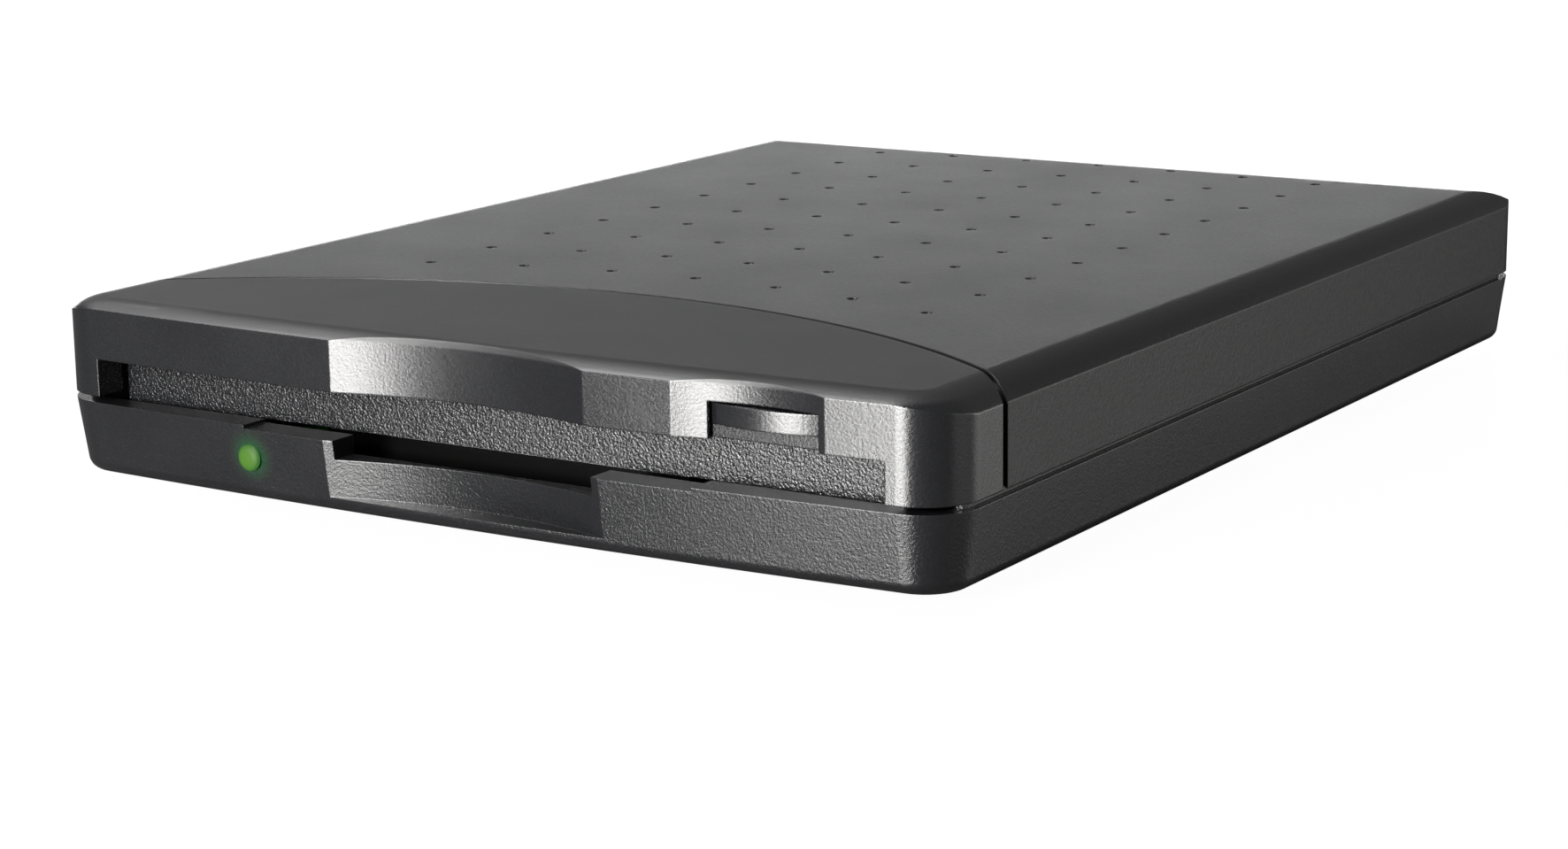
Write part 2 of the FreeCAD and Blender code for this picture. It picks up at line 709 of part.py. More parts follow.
def frontBezel():
    skin, lining = shellHalves("Bezel", (seamDrum("BezelSkinSpan", "seamRadius - seamGap / 2"),
                                         seamDrum("BezelLiningSpan", "seamRadius + seamLap")))
    wall = common("FrontWall", upperSolid("outer", "upperBottom"),
                  box("WallSpan", ("-shellWidth", "shellWidth"), ("-shellDepth", "bezelBack"),
                      ("upperBottom", "shellTop + 1")))
    ears = []
    for low, high in (("earHalfWidth", "innerHalf + shellWall / 4"),
                      ("-innerHalf - shellWall / 4", "-earHalfWidth")):
        ears.append(box("PinEar", (low, high), ("bezelBack - 0.5", "doorAxisY + 1.2"),
                        ("doorAxisZ - 1.6", "doorAxisZ + 0.85")))
    lugs = []
    for low, high in (("innerHalf - 1.7", "innerHalf + 0.3"), ("-innerHalf - 0.3", "-innerHalf + 1.7")):
        lugs.append(box("BezelLug", (low, high), ("bezelBack + 0.9", "bezelBack + 3.9"),
                        ("upperBottom + lapRise - partingGap + lapClearance", "upperBottom + 4")))
    slot = box("Slot", ("-slotHalf", "slotHalf"), ("-shellDepth", "bezelBack + 1"),
               ("partingLevel - 1", "slotTop"))
    buttonHole = box("ButtonHole", ("buttonLeft", "buttonRight"), ("-shellDepth", "bezelBack + 1"),
                     ("slotTop - 1", "footStand + buttonTopHeight + buttonGap"))
    pinHole = rod("PinSeat", "doorPinRadius", "doorAxisY", "doorAxisZ",
                  ("-earHalfWidth - pinSeat", "earHalfWidth + pinSeat"), "X")
    shell = fuse("BezelShell", skin, lining, wall, *ears, *lugs)
    return node("front_bezel", cut("FrontBezel", shell, slot, buttonHole, pinHole, *scallops()))


def bottomCase():
    outer = lowerSolid("CaseOuter", "base", "outer", "footStand", "partingLevel")
    rounded = roundEdges("CaseRounded", outer, size("caseEdgeRound"),
                         lambda spot: spot.z < size("footStand") + 0.01)
    inner = lowerSolid("CaseInner", "innerBase", "inner", "floorTop", "partingLevel + 0.01")
    lip = common("Lip", lowerSolid("LipSolid", "base", "outer", "footStand", "partingLevel"),
                 box("LipSpan", ("-shellWidth", "shellWidth"), ("-shellDepth", "lipBack"),
                     ("footStand + caseEdgeRound", "partingLevel")))
    tongue = cut("CaseTongue", prism("lap", "partingLevel - 1", "partingLevel + lapRise"),
                 prism("inner", "partingLevel - 2", "partingLevel + lapRise + 1"),
                 box("TongueFront", ("-shellWidth", "shellWidth"), ("-shellDepth", "bezelBack + 0.9"),
                     ("0", "shellTop")))
    hollow = cut("CaseHollow", rounded, inner)
    bosses = [rod("CaseBoss", "shellBossRadius", f"{sign} shellScrewAcross / 2", "shellScrewBack",
                  ("floorTop - 0.5", "floorTop + bossSplit - 0.05")) for sign in ("", "-")]
    posts = [rod("BoardPost", "machineHead", x, "linkScrewY", ("floorTop - 0.5", "linkBoardBottom"))
             for x in ("linkScrewLeft", "linkScrewRight")]
    body = fuse("CaseBody", hollow, lip, tongue, *bosses, *posts)
    holes = []
    for sign in ("", "-"):
        across = f"{sign} shellScrewAcross / 2"
        holes.append(rod("Counterbore", "shellScrewHead + screwClearance", across, "shellScrewBack",
                         ("0", "footStand + counterboreDepth")))
        holes.append(rod("ShellScrewHole", "shellScrewRadius + screwClearance", across, "shellScrewBack",
                         ("0", "shellTop")))
        for along in ("-frameScrewFront", "frameScrewRear"):
            across = f"{sign} frameScrewAcross / 2"
            holes.append(rod("FrameCounterbore", "frameScrewHead + screwClearance", across, along,
                             ("0", "footStand + frameScrewHeadHeight + 0.1")))
            holes.append(rod("FrameScrewHole", "frameScrewRadius + screwClearance", across, along,
                             ("0", "floorTop + 1")))
        for along in ("-footFront", "footRear"):
            holes.append(rod("FootRecess", "footRadius + screwClearance", f"{sign} footAcross / 2", along,
                             ("0", "footStand + footRecess")))
    for x in ("linkScrewLeft", "linkScrewRight"):
        holes.append(rod("PostHole", "machineRadius", x, "linkScrewY",
                         ("linkBoardTop - machineLength", "linkBoardTop")))
    step = box("LipStep", ("-lipStepHalf", "lipStepHalf"), ("-shellDepth", "lipBack + 1"),
               ("partingLevel - lipStep", "partingLevel + 1"))
    notch = box("FingerNotch", ("-scallopHalf", "scallopHalf"), ("-shellDepth", "lipBack + 1"),
                ("footStand + notchHeight", "partingLevel + 1"))
    light = rod("LightHole", "ledRadius", "-ledOffset", "footStand + ledHeight",
                ("-shellDepth", "lipBack + 1"), "Y")
    mouth = box("SocketMouth", ("socketX - socketWidth / 2 - socketOpeningGap",
                                "socketX + socketWidth / 2 + socketOpeningGap"),
                ("rearFace - 2 * shellWall", "shellDepth"),
                ("linkBoardTop - socketOpeningGap", "socketTop + socketOpeningGap"))
    return node("bottom_case", cut("BottomCase", body, *holes, step, notch, light, mouth, leaningScallop()))


def rubberFeet():
    feet = []
    for sign in ("", "-"):
        for along in ("-footFront", "footRear"):
            feet.append(turned("Foot", [("0", "0"), ("footRadius - 0.5", "0"), ("footRadius", "0.5"),
                                        ("footRadius", "footStand + footRecess"),
                                        ("0", "footStand + footRecess")], f"{sign} footAcross / 2", along,
                               "0"))
    return node("rubber_feet", group("RubberFeet", *feet))


def screw(label, head, headHeight, radius, length, x, y, z, up=True):
    """Round-headed screw: z is the underside of its head; it points up or down."""
    way = "" if up else "-"
    profile = [("0", f"{way}({length})"), (f"{radius} * 0.6", f"{way}({length})"),
               (radius, f"{way}({length} - {radius} * 0.6)"), (radius, "0"), (head, "0"),
               (head, f"-({way}({headHeight} * 0.6))"), (f"{head} * 0.75", f"-({way}({headHeight}))"),
               (f"{head} * 0.28", f"-({way}({headHeight}))"), ("0", f"-({way}({headHeight} * 0.35))")]
    return turned(label, profile, x, y, z)


def caseScrews():
    made = [screw("ShellScrew", "shellScrewHead", "shellScrewHeadHeight", "shellScrewRadius",
                  "shellScrewLength - 3.4", f"{sign} shellScrewAcross / 2", "shellScrewBack",
                  "footStand + counterboreDepth") for sign in ("", "-")]
    return node("case_screws", group("CaseScrews", *made))


def frameScrews():
    made = [screw("FrameScrew", "frameScrewHead", "frameScrewHeadHeight", "frameScrewRadius",
                  "frameTop - footStand - frameScrewHeadHeight - 0.1",
                  f"{sign} frameScrewAcross / 2", along, "footStand + frameScrewHeadHeight + 0.1")
            for sign in ("", "-") for along in ("-frameScrewFront", "frameScrewRear")]
    return node("frame_screws", group("FrameScrews", *made))


def ledLens():
    """Light guide with a domed front, in from the lip to the light on the motor board."""
    front = "frontFace + ledOffset ^ 2 / (2 * frontBowRadius)"
    length = "lipBack + 2.6 - frontFace - ledOffset ^ 2 / (2 * frontBowRadius)"
    lens = turned("LedLens", [("0", "-ledProud"), ("ledRadius * 0.5", "-ledProud * 0.75"),
                              ("ledRadius * 0.85", "-ledProud * 0.3"), ("ledRadius", "0.05"),
                              ("ledRadius", length), ("0", length)], "-ledOffset", front,
                  "footStand + ledHeight", "Y")
    return node("led_lens", lens)


# ---------------------------------------------------------------- slot door and eject button
def slotDoor():
    panel = box("DoorPanel", ("-doorHalf", "doorHalf"), ("doorFace", "doorFace + doorThickness"),
                ("doorBottom", "doorAxisZ + doorPinRise"))
    barrel = rod("DoorBarrel", "doorBarrel", "doorAxisY", "doorAxisZ", ("-doorHalf", "doorHalf"), "X")
    bore = rod("DoorBore", "doorPinRadius + runningClearance", "doorAxisY", "doorAxisZ",
               ("-doorHalf - 1", "doorHalf + 1"), "X")
    pocket = box("SpringPocket", ("-doorSpringGap - doorSpringWidth", "-doorSpringGap"),
                 ("doorAxisY - doorBarrel", "doorAxisY + doorBarrel + 1"),
                 ("doorAxisZ - doorBarrel - 0.1", "doorAxisZ + doorBarrel + 0.1"))
    return node("slot_door", cut("SlotDoor", fuse("DoorBody", panel, barrel), bore, pocket))


def doorPin():
    return node("door_pin", rod("DoorPin", "doorPinRadius", "doorAxisY", "doorAxisZ",
                                ("-earHalfWidth - pinSeat", "earHalfWidth + pinSeat"), "X"))


def coil(name, radius, wire, length, turnsCount, x, y, z, along="Z"):
    """Helical spring: a round wire swept along a helix."""
    helix = Part.makeHelix(length / turnsCount, length, radius)
    start = FreeCAD.Vector(radius, 0, 0)
    ring = Part.Wire([Part.makeCircle(wire / 2, start, FreeCAD.Vector(0, 1, 0))])
    spring = doc.addObject("Part::Feature", unique(name))
    spring.Shape = Part.Wire(helix.Edges).makePipeShell([ring], True, True)
    spring.Placement = FreeCAD.Placement(FreeCAD.Vector(), turns[along])
    return put(spring, x, y, z)


def doorSpring():
    length = size("doorSpringWidth") - 0.9
    return node("door_spring", coil("DoorSpring", size("doorPinRadius") + 0.2, 0.2, length, 7,
                                    "-doorSpringGap - doorSpringWidth + 0.45", "doorAxisY", "doorAxisZ", "X"))


def ejectButton():
    """Crescent bar over a flush skirt, on a stem that is pushed onto the slide's tongue."""
    left, right = "(buttonLeft + buttonGap)", "(buttonRight - buttonGap)"
    middle = "((buttonLeft + buttonRight) / 2)"
    half = f"({right} - {left}) / 2"
    face = f"(frontFace + {middle} ^ 2 / (2 * frontBowRadius) + buttonScallopDepth)"
    bulge = f"((({half}) ^ 2 + buttonBulge ^ 2) / (2 * buttonBulge))"
    low, high = "slotTop + 0.1", "footStand + buttonTopHeight"
    blank = box("ButtonBlank", (left, right), (f"{face} - 2", "bezelBack + 0.4"),
                (f"{high} - buttonCap", high))
    bar = common("ButtonBar", blank, rod("ButtonArc", bulge, middle, f"{face} + {bulge} - buttonBulge",
                                         (f"{high} - buttonCap", high)))
    skirt = box("ButtonSkirt", (left, right), (f"{face} + 0.05", "bezelBack + 0.4"),
                (low, f"{high} - buttonCap"))
    stem = box("ButtonStem", (f"{middle} - buttonStem / 2", f"{middle} + buttonStem / 2"),
               ("bezelBack + 0.3", "-slideFront - 0.1"), ("slideBottom - 0.1", f"{high}"))
    tongue = box("TongueSlot", (f"{middle} - slideTongue / 2", f"{middle} + slideTongue / 2"),
                 ("doorAxisY", "-slideFront + 1"), ("slideBottom", "slideTop"))
    return node("eject_button", cut("EjectButton", fuse("ButtonBody", bar, skirt, stem), tongue))


# ---------------------------------------------------------------- drive frame
def pinSlot(name, radius, x, y, rise, run, z):
    """Straight slot through a side wall for a pin that moves by run along Y and rise along Z."""
    slack = "runningClearance"
    length = f"sqrt(({rise}) ^ 2 + ({run}) ^ 2)"
    start = rod(name + "Start", f"{radius} + {slack}", y, z, x, "X")
    end = rod(name + "End", f"{radius} + {slack}", f"{y} + ({run})", f"{z} - ({rise})", x, "X")
    web = doc.addObject("Part::Box", unique(name + "Web"))
    bind(web, Length=f"({x[1]}) - ({x[0]})", Width=length, Height=f"2 * ({radius} + {slack})")
    tilt = math.atan2(-size("dropTravel"), size("ejectTravel") if run != "0" else 0)
    web.Placement = FreeCAD.Placement(FreeCAD.Vector(),
                                      FreeCAD.Rotation(FreeCAD.Vector(1, 0, 0), math.degrees(tilt)))
    reach = f"({radius} + {slack})"
    put(web, x[0], f"{y} + {reach} * {math.sin(tilt):.6f}", f"{z} - {reach} * {math.cos(tilt):.6f}")
    return fuse(name, start, end, web)


carrierPins = ("-carrierPinFront", "carrierPinRear")
slideStuds = ("-slideStudFront", "slideStudRear")


def driveFrame():
    """Pressed tray: floor, two side walls with inward tabs, and a short upright edge at the front."""
    floor = box("FrameFloor", ("-frameHalf", "frameHalf"), ("-frameFront", "frameRear"),
                ("frameBottom", "frameTop"))
    shell = [floor]
    for inner, outer in (("frameInside", "frameHalf"), ("-frameHalf", "-frameInside")):
        shell.append(box("FrameWall", (inner, outer), ("-frameWallFront", "frameWallRear"),
                         ("frameBottom", "frameWallTop")))
    for low, high in (("frameInside - frameTab", "frameHalf"), ("-frameHalf", "-frameInside + frameTab")):
        for along in ("-frameTabFront", "frameTabRear"):
            shell.append(box("FrameTab", (low, high),
                             (f"{along} - frameTabLength / 2", f"{along} + frameTabLength / 2"),
                             ("frameWallTop - frameFloor", "frameWallTop")))
    shell.append(box("FrontFlange", ("-frontFlangeHalf", "frontFlangeHalf"),
                     ("-frameFront", "-frameFront + frontFlangeThick"),
                     ("frameBottom", "frameTop + frontFlangeHeight")))
    holes = [rod("BearingSeat", "bearingRadius", "0", "spindleY", ("0", "shellTop"))]
    for side in (("frameInside - 1", "frameHalf + 1"), ("-frameHalf - 1", "-frameInside + 1")):
        for along in carrierPins:
            holes.append(pinSlot("LiftSlot", "carrierPinRadius", side, along, "dropTravel", "0",
                                 "carrierPinZ"))
        for along in slideStuds:
            holes.append(rod("StudHole", "slideStudRadius", along, "carrierPinZ", side, "X"))
    for sign in ("", "-"):
        for along in ("-frameScrewFront", "frameScrewRear"):
            holes.append(rod("CaseThread", "frameScrewRadius", f"{sign} frameScrewAcross / 2", along,
                             ("0", "frameTop + 1")))
        for along in ("-datumPinFront", "datumPinRear"):
            holes.append(rod("DatumHole", "datumPinRadius * 0.6", f"{sign} datumPinAcross / 2", along,
                             ("0", "frameTop + 1")))
        for along in ("-frameTabFront", "frameTabRear"):
            holes.append(rod("TabThread", "machineRadius", f"{sign} (frameInside - frameTab / 2)", along,
                             ("frameWallTop - frameFloor - 1", "frameWallTop + 1")))
    for x, y in boardScrews + bracketScrews + clampScrews:
        holes.append(rod("FloorThread", "machineRadius", x, y, ("0", "frameTop + 1")))
    holes.append(rod("LatchSeat", "latchPostRadius * 0.7", "latchX", "latchY", ("0", "frameTop + 1")))
    for low, high, near, far in windows:
        holes.append(box("FloorWindow", (low, high), (near, far), ("0", "frameTop + 1")))
    return node("drive_frame", cut("DriveFrame", fuse("FrameShell", *shell), *holes))


boardScrews = [("-boardLeft + 4", "-boardFront + 3.5"), ("boardRight - 4", "-boardFront + 3.5"),
               ("-boardLeft + 4", "boardRear - 9")]
bracketScrews = [("-stepperX - 3.6", "bracketFront + 4.4"), ("-stepperX + 3.6", "stepperFront - 5")]
clampScrews = [("rodX + 5", "rodFront + clampLength / 2"), ("rodX + 5", "rodRear - clampLength / 2")]
windows = [("-20", "20", "-frameFront + 5", "-frameFront + 11"), ("34", "43", "-20", "8"),
           ("-4", "4", "boardRear + 6", "carriageFront - 4")]


def topPlate():
    sheetMetal = box("TopSheet", ("-frameHalf", "frameHalf"), ("-frameWallFront", "frameWallRear"),
                     ("frameWallTop", "frameWallTop + topPlateThick"))
    hooks = [box("SpringHook", (f"{sign} slideSpringX - 0.8", f"{sign} slideSpringX + 0.8"),
                 ("-slideSpringFront - 0.9", "-slideSpringFront - 0.2"),
                 ("slideTop - 0.7", "frameWallTop + 0.1")) for sign in ("", "-")]
    holes = [box("ArmWindow", ("-armWindowHalf", "armWindowHalf"), ("carrierWindowFront", "shellDepth"),
                 ("frameWallTop - 1", "shellTop"))]
    for sign in ("", "-"):
        for along in ("-frameTabFront", "frameTabRear"):
            holes.append(rod("TopHole", "machineRadius", f"{sign} (frameInside - frameTab / 2)", along,
                             ("frameWallTop - 1", "shellTop")))
    return node("drive_top_plate", cut("TopPlate", fuse("TopPlateBody", sheetMetal, *hooks), *holes))


def machineScrews():
    """Small screws that hold boards, bracket, clamps and top plate; each place gives the head's seat."""
    places = [(x, y, "boardTop") for x, y in boardScrews]
    places += [(x, y, "frameTop + bracketPlate") for x, y in bracketScrews]
    places += [(x, y, "frameTop + clampSeat") for x, y in clampScrews]
    places += [(x, "linkScrewY", "linkBoardTop") for x in ("linkScrewLeft", "linkScrewRight")]
    places += [(f"{sign} (frameInside - frameTab / 2)", along, "frameWallTop + topPlateThick")
               for sign in ("", "-") for along in ("-frameTabFront", "frameTabRear")]
    made = [screw("MachineScrew", "machineHead", "machineHeadHeight", "machineRadius", "machineLength",
                  x, y, z, False) for x, y, z in places]
    return node("machine_screws", group("MachineScrews", *made))


def datumPins():
    """Shouldered posts on which a loaded disk rests."""
    pins = [turned("DatumPin", [("0", "frameBottom - frameTop"),
                                ("datumPinRadius * 0.6", "frameBottom - frameTop"),
                                ("datumPinRadius * 0.6", "0"), ("datumPinRadius", "0"),
                                ("datumPinRadius", "diskLow - frameTop - 0.4"),
                                ("datumPinRadius - 0.4", "diskLow - frameTop"),
                                ("0", "diskLow - frameTop")], f"{sign} datumPinAcross / 2", along,
                   "frameTop") for sign in ("", "-") for along in ("-datumPinFront", "datumPinRear")]
    return node("datum_pins", group("DatumPins", *pins))


# ---------------------------------------------------------------- disk carrier, slide and latch
def diskCarrier():
    """Folded tray that holds the disk by its edges and drops it onto the spindle."""
    top = box("CarrierTop", ("-carrierOuter", "carrierOuter"), ("-carrierFront", "carrierRear"),
              ("carrierCeiling", "carrierTop"))
    parts = [top]
    for side, inside in (("carrierInner", "carrierOuter"), ("-carrierOuter", "-carrierInner")):
        parts.append(box("CarrierSide", (side, inside), ("-carrierFront", "carrierRear"),
                         ("carrierFloor - carrierPlate", "carrierTop")))
    for low, high in (("carrierOuter - carrierFlange", "carrierOuter"),
                      ("-carrierOuter", "-carrierOuter + carrierFlange")):
        parts.append(box("CarrierFlange", (low, high), ("-carrierFront", "carrierRear"),
                         ("carrierFloor - carrierPlate", "carrierFloor")))
    for low, high in (("carrierStopHalf", "carrierOuter"), ("-carrierOuter", "-carrierStopHalf")):
        parts.append(box("CarrierStop", (low, high), ("carrierRear - carrierPlate", "carrierRear"),
                         ("carrierFloor - carrierPlate", "carrierTop")))
    holes = [box("HeadWindow", ("-carrierWindowHalf", "carrierWindowHalf"),
                 ("carrierWindowFront", "shellDepth"), ("carrierCeiling - 1", "carrierTop + 1"))]
    for side in (("carrierInner - 1", "carrierOuter + 1"), ("-carrierOuter - 1", "-carrierInner + 1")):
        for along in carrierPins:
            holes.append(rod("CarrierPinHole", "carrierPinRadius", along, "carrierPinZ", side, "X"))
    for sign in ("", "-"):
        holes.append(box("CarrierRelief", (f"{sign} 24 - 7", f"{sign} 24 + 7"), ("-30", "-6"),
                         ("carrierCeiling - 1", "carrierTop + 1")))
    return node("disk_carrier", cut("DiskCarrier", fuse("CarrierBody", *parts), *holes))


def pinsOfCarrier():
    pins = []
    for side in (("carrierInner + 0.05", "carrierOuter + carrierPinReach"),
                 ("-carrierOuter - carrierPinReach", "-carrierInner - 0.05")):
        for along in carrierPins:
            pins.append(rod("CarrierPin", "carrierPinRadius", along, "carrierPinZ", side, "X"))
    return node("carrier_pins", group("CarrierPins", *pins))


def slidePlate():
    """Plate over the carrier: slanted slots in its side flanges lift and drop the carrier's pins."""
    top = box("SlideTop", ("-slideOuter", "slideOuter"), ("-slideFront", "slideRear"),
              ("slideBottom", "slideTop"))
    leg = box("SlideLeg", ("slideLegInner", "slideOuter"), ("0", "slideLegRear"), ("slideBottom", "slideTop"))
    middle = "((buttonLeft + buttonRight) / 2)"
    tongue = box("SlideTongue", (f"{middle} - slideTongue / 2", f"{middle} + slideTongue / 2"),
                 ("bezelBack + 2", "-slideFront + 1"), ("slideBottom", "slideTop"))
    parts = [top, leg, tongue]
    for low, high in (("slideInner", "slideOuter"), ("-slideOuter", "-slideInner")):
        parts.append(box("SlideFlange", (low, high), ("-slideFront + 2", "slideRear + 8"),
                         ("slideTop - slideFlangeDrop", "slideTop")))
    holes = [box("SlideArmGap", ("-carrierWindowHalf", "carrierWindowHalf"),
                 ("carrierWindowFront - 3", "shellDepth"), ("slideBottom - 1", "slideTop + 1")),
             box("PegSlot", ("latchPegX - 3.7", "latchPegX + 1.6"),
                 ("latchPegY - latchPegRadius - 0.2", "latchPegY + latchPegRadius + 0.8"),
                 ("slideBottom - 1", "slideTop + 1"))]
    for sign in ("", "-"):
        holes.append(box("SpringWindow", (f"{sign} slideSpringX - 2", f"{sign} slideSpringX + 2"),
                         ("-slideSpringFront - 2", "-slideSpringRear + 0.5"),
                         ("slideBottom - 1", "slideTop + 1")))
    for side in (("slideInner - 0.5", "slideOuter + 0.5"), ("-slideOuter - 0.5", "-slideInner + 0.5")):
        for along in carrierPins:
            holes.append(pinSlot("CamSlot", "carrierPinRadius", side, along, "dropTravel", "ejectTravel",
                                 "carrierPinZ"))
        for along in slideStuds:
            holes.append(box("StudSlot", side, (f"{along} - slideStudRadius - 0.1",
                                               f"{along} + ejectTravel + slideStudRadius + 0.1"),
                             ("carrierPinZ - slideStudRadius - runningClearance",
                              "carrierPinZ + slideStudRadius + runningClearance")))
    return node("eject_slide_plate", cut("SlidePlate", fuse("SlideBody", *parts), *holes))


def slideGuideStuds():
    studs = []
    for side in (("slideInner - 0.1", "frameHalf + 0.4"), ("-frameHalf - 0.4", "-slideInner + 0.1")):
        for along in slideStuds:
            studs.append(rod("SlideStud", "slideStudRadius", along, "carrierPinZ", side, "X"))
    return node("slide_guide_studs", group("SlideStuds", *studs))


def slideSprings():
    """Extension springs that draw the slide forwards once the latch lets go."""
    length = size("slideSpringFront") - size("slideSpringRear")
    springs = [coil("SlideSpring", size("slideSpringRadius"), size("slideSpringWire"), length,
                    size("springTurns"), f"{sign} slideSpringX", "-slideSpringFront",
                    "(slideBottom + slideTop) / 2", "Y") for sign in ("", "-")]
    return node("slide_springs", group("SlideSprings", *springs))


def latchLever():
    """Bell lever: a disk pushes its finger back, which frees the slide; a peg stands in the slide's leg."""
    low, high = "frameTop + 5.8", "frameTop + 5.8 + latchPlate"
    hub = rod("LatchHub", "latchHub", "latchX", "latchY", ("frameTop + 5.2", "frameTop + 7.4"))
    parts = [hub]
    for name, x, y in (("Finger", "latchTipX", "latchTipY"), ("Catch", "latchPegX", "latchPegY")):
        reachX, reachY = f"({x} - latchX)", f"({y} - latchY)"
        arm = doc.addObject("Part::Box", unique("Latch" + name))
        bind(arm, Length=f"sqrt({reachX} ^ 2 + {reachY} ^ 2)", Width="latchArmWidth", Height="latchPlate")
        turn = math.atan2(size(y) - size("latchY"), size(x) - size("latchX"))
        arm.Placement = FreeCAD.Placement(FreeCAD.Vector(),
                                          FreeCAD.Rotation(FreeCAD.Vector(0, 0, 1), math.degrees(turn)))
        put(arm, f"latchX + latchArmWidth / 2 * {math.sin(turn):.6f}",
            f"latchY - latchArmWidth / 2 * {math.cos(turn):.6f}", low)
        parts += [arm, rod("Latch" + name + "End", "latchArmWidth / 2", x, y, (low, high))]
    parts.append(rod("LatchPeg", "latchPegRadius", "latchPegX", "latchPegY", (low, "slideTop + 0.4")))
    bore = rod("LatchBore", "latchPostRadius + runningClearance", "latchX", "latchY", ("0", "shellTop"))
    return node("latch_lever", cut("LatchLever", fuse("LatchBody", *parts), bore))


def latchPost():
    post = turned("LatchPost", [("0", "frameBottom - frameTop"),
                                ("latchPostRadius * 0.7", "frameBottom - frameTop"),
                                ("latchPostRadius * 0.7", "0"), ("latchPostRadius", "0"),
                                ("latchPostRadius", "7.5"), ("latchPostRadius + 0.6", "7.5"),
                                ("latchPostRadius + 0.6", "8.1"), ("0", "8.1")], "latchX", "latchY",
                  "frameTop")
    return node("latch_post", post)


def latchSpring():
    return node("latch_spring", coil("LatchSpring", size("latchPostRadius") + 0.6, 0.4, 4.0, 6,
                                     "latchX", "latchY", "frameTop + 0.6"))


# ---------------------------------------------------------------- spindle motor
def motorBoard():
    left, right, front, rear = "-boardLeft", "boardRight", "-boardFront", "boardRear"
    stripLeft, stripRight = "-ledOffset - ledStripHalf", "-ledOffset + ledStripHalf"
    strip = "-ledStripFront"
    board = plate("MotorBoardBlank", [(left, front), (stripLeft, front), (stripLeft, strip),
                                      (stripRight, strip), (stripRight, front), (right, front),
                                      (right, rear), (left, rear)], "boardThick", "0", "0", "frameTop")
    holes = [rod("MotorWindow", "rotorRadius + 0.6", "0", "spindleY", ("0", "shellTop"))]
    holes += [rod("BoardHole", "machineRadius", x, y, ("0", "shellTop")) for x, y in boardScrews]
    for sign in ("", "-"):
        holes.append(rod("CaseScrewRelief", "frameScrewRadius + 0.6", f"{sign} frameScrewAcross / 2",
                         "-frameScrewFront", ("0", "shellTop")))
    return node("motor_board", cut("MotorBoard", board, *holes))


def driverChips():
    """Two flat packages with a row of legs along each side."""
    chips = []
    for x, y, side in (("-boardLeft + 12", "-boardFront + 14", "driverChip"),
                       ("boardRight - 6", "-12", "driverChip * 0.8")):
        body = [box("Chip", (f"{x} - {side} / 2", f"{x} + {side} / 2"),
                    (f"{y} - {side} / 2", f"{y} + {side} / 2"),
                    ("boardTop + 0.15", "boardTop + 0.15 + chipHeight"))]
        for sign in ("", "-"):
            for step in range(-3, 4):
                along = f"{y} + {step} * {side} / 8"
                low, high = (f"{x} + {side} / 2 - 0.2", f"{x} + {side} / 2 + 0.7")
                if sign:
                    low, high = (f"{x} - {side} / 2 - 0.7", f"{x} - {side} / 2 + 0.2")
                body.append(box("ChipLeg", (low, high), (f"{along} - 0.2", f"{along} + 0.2"),
                                ("boardTop", "boardTop + 0.45")))
        chips.append(fuse("DriverChip", *body))
    return node("driver_chips", group("DriverChips", *chips))


def ledEmitter():
    base = box("EmitterBase", ("-ledOffset - 1.6", "-ledOffset + 1.6"),
               ("-ledStripFront + 0.4", "-ledStripFront + 2.0"), ("boardTop", "boardTop + 2.2"))
    dome = rod("EmitterDome", "0.9", "-ledOffset", "footStand + ledHeight",
               ("-ledStripFront - 0.3", "-ledStripFront + 0.6"), "Y")
    return node("led_emitter", fuse("LedEmitter", base, dome))


def spindleBearing():
    """Sintered bush pressed into the frame under the rotor."""
    bush = turned("SpindleBearing", [("spindleRadius + runningClearance", "0"), ("bearingRadius", "0"),
                                     ("bearingRadius", "rotorTop - rotorPlate - 0.3 - frameBottom"),
                                     ("spindleRadius + runningClearance",
                                      "rotorTop - rotorPlate - 0.3 - frameBottom")], "0", "spindleY",
                  "frameBottom")
    return node("spindle_bearing", bush)


def spindleShaft():
    shaft = turned("SpindleShaft", [("0", "0"), ("spindleRadius - 0.3", "0"), ("spindleRadius", "0.3"),
                                    ("spindleRadius", "hubTop + spindleNose - 0.5 - frameBottom"),
                                    ("spindleRadius - 0.6", "hubTop + spindleNose - frameBottom"),
                                    ("0", "hubTop + spindleNose - frameBottom")],
                   "0", "spindleY", "frameBottom")
    return node("spindle_shaft", shaft)


def spindleRotor():
    """Inverted cup with a raised hub table."""
    cup = turned("RotorCup", [("spindleRadius", "rotorPlate + rotorSkirt - 0.2"),
                              ("spindleRadius", "hubTop - rotorBottom"),
                              ("hubRadius - 0.3", "hubTop - rotorBottom"),
                              ("hubRadius", "hubTop - rotorBottom - 0.3"),
                              ("hubRadius", "rotorPlate + rotorSkirt"),
                              ("rotorRadius - 0.4", "rotorPlate + rotorSkirt"),
                              ("rotorRadius", "rotorPlate + rotorSkirt - 0.4"), ("rotorRadius", "0"),
                              ("rotorRadius - rotorRim", "0"), ("rotorRadius - rotorRim", "rotorSkirt"),
                              ("hubRadius - 3", "rotorSkirt"),
                              ("hubRadius - 3", "rotorPlate + rotorSkirt - 0.2")], "0", "spindleY",
                 "rotorBottom")
    hole = rod("DrivePinHole", "drivePinRadius", "0", "spindleY + drivePinOffset",
               ("hubTop - 1.0", "hubTop + 1"))
    return node("spindle_rotor", cut("SpindleRotor", cup, hole))


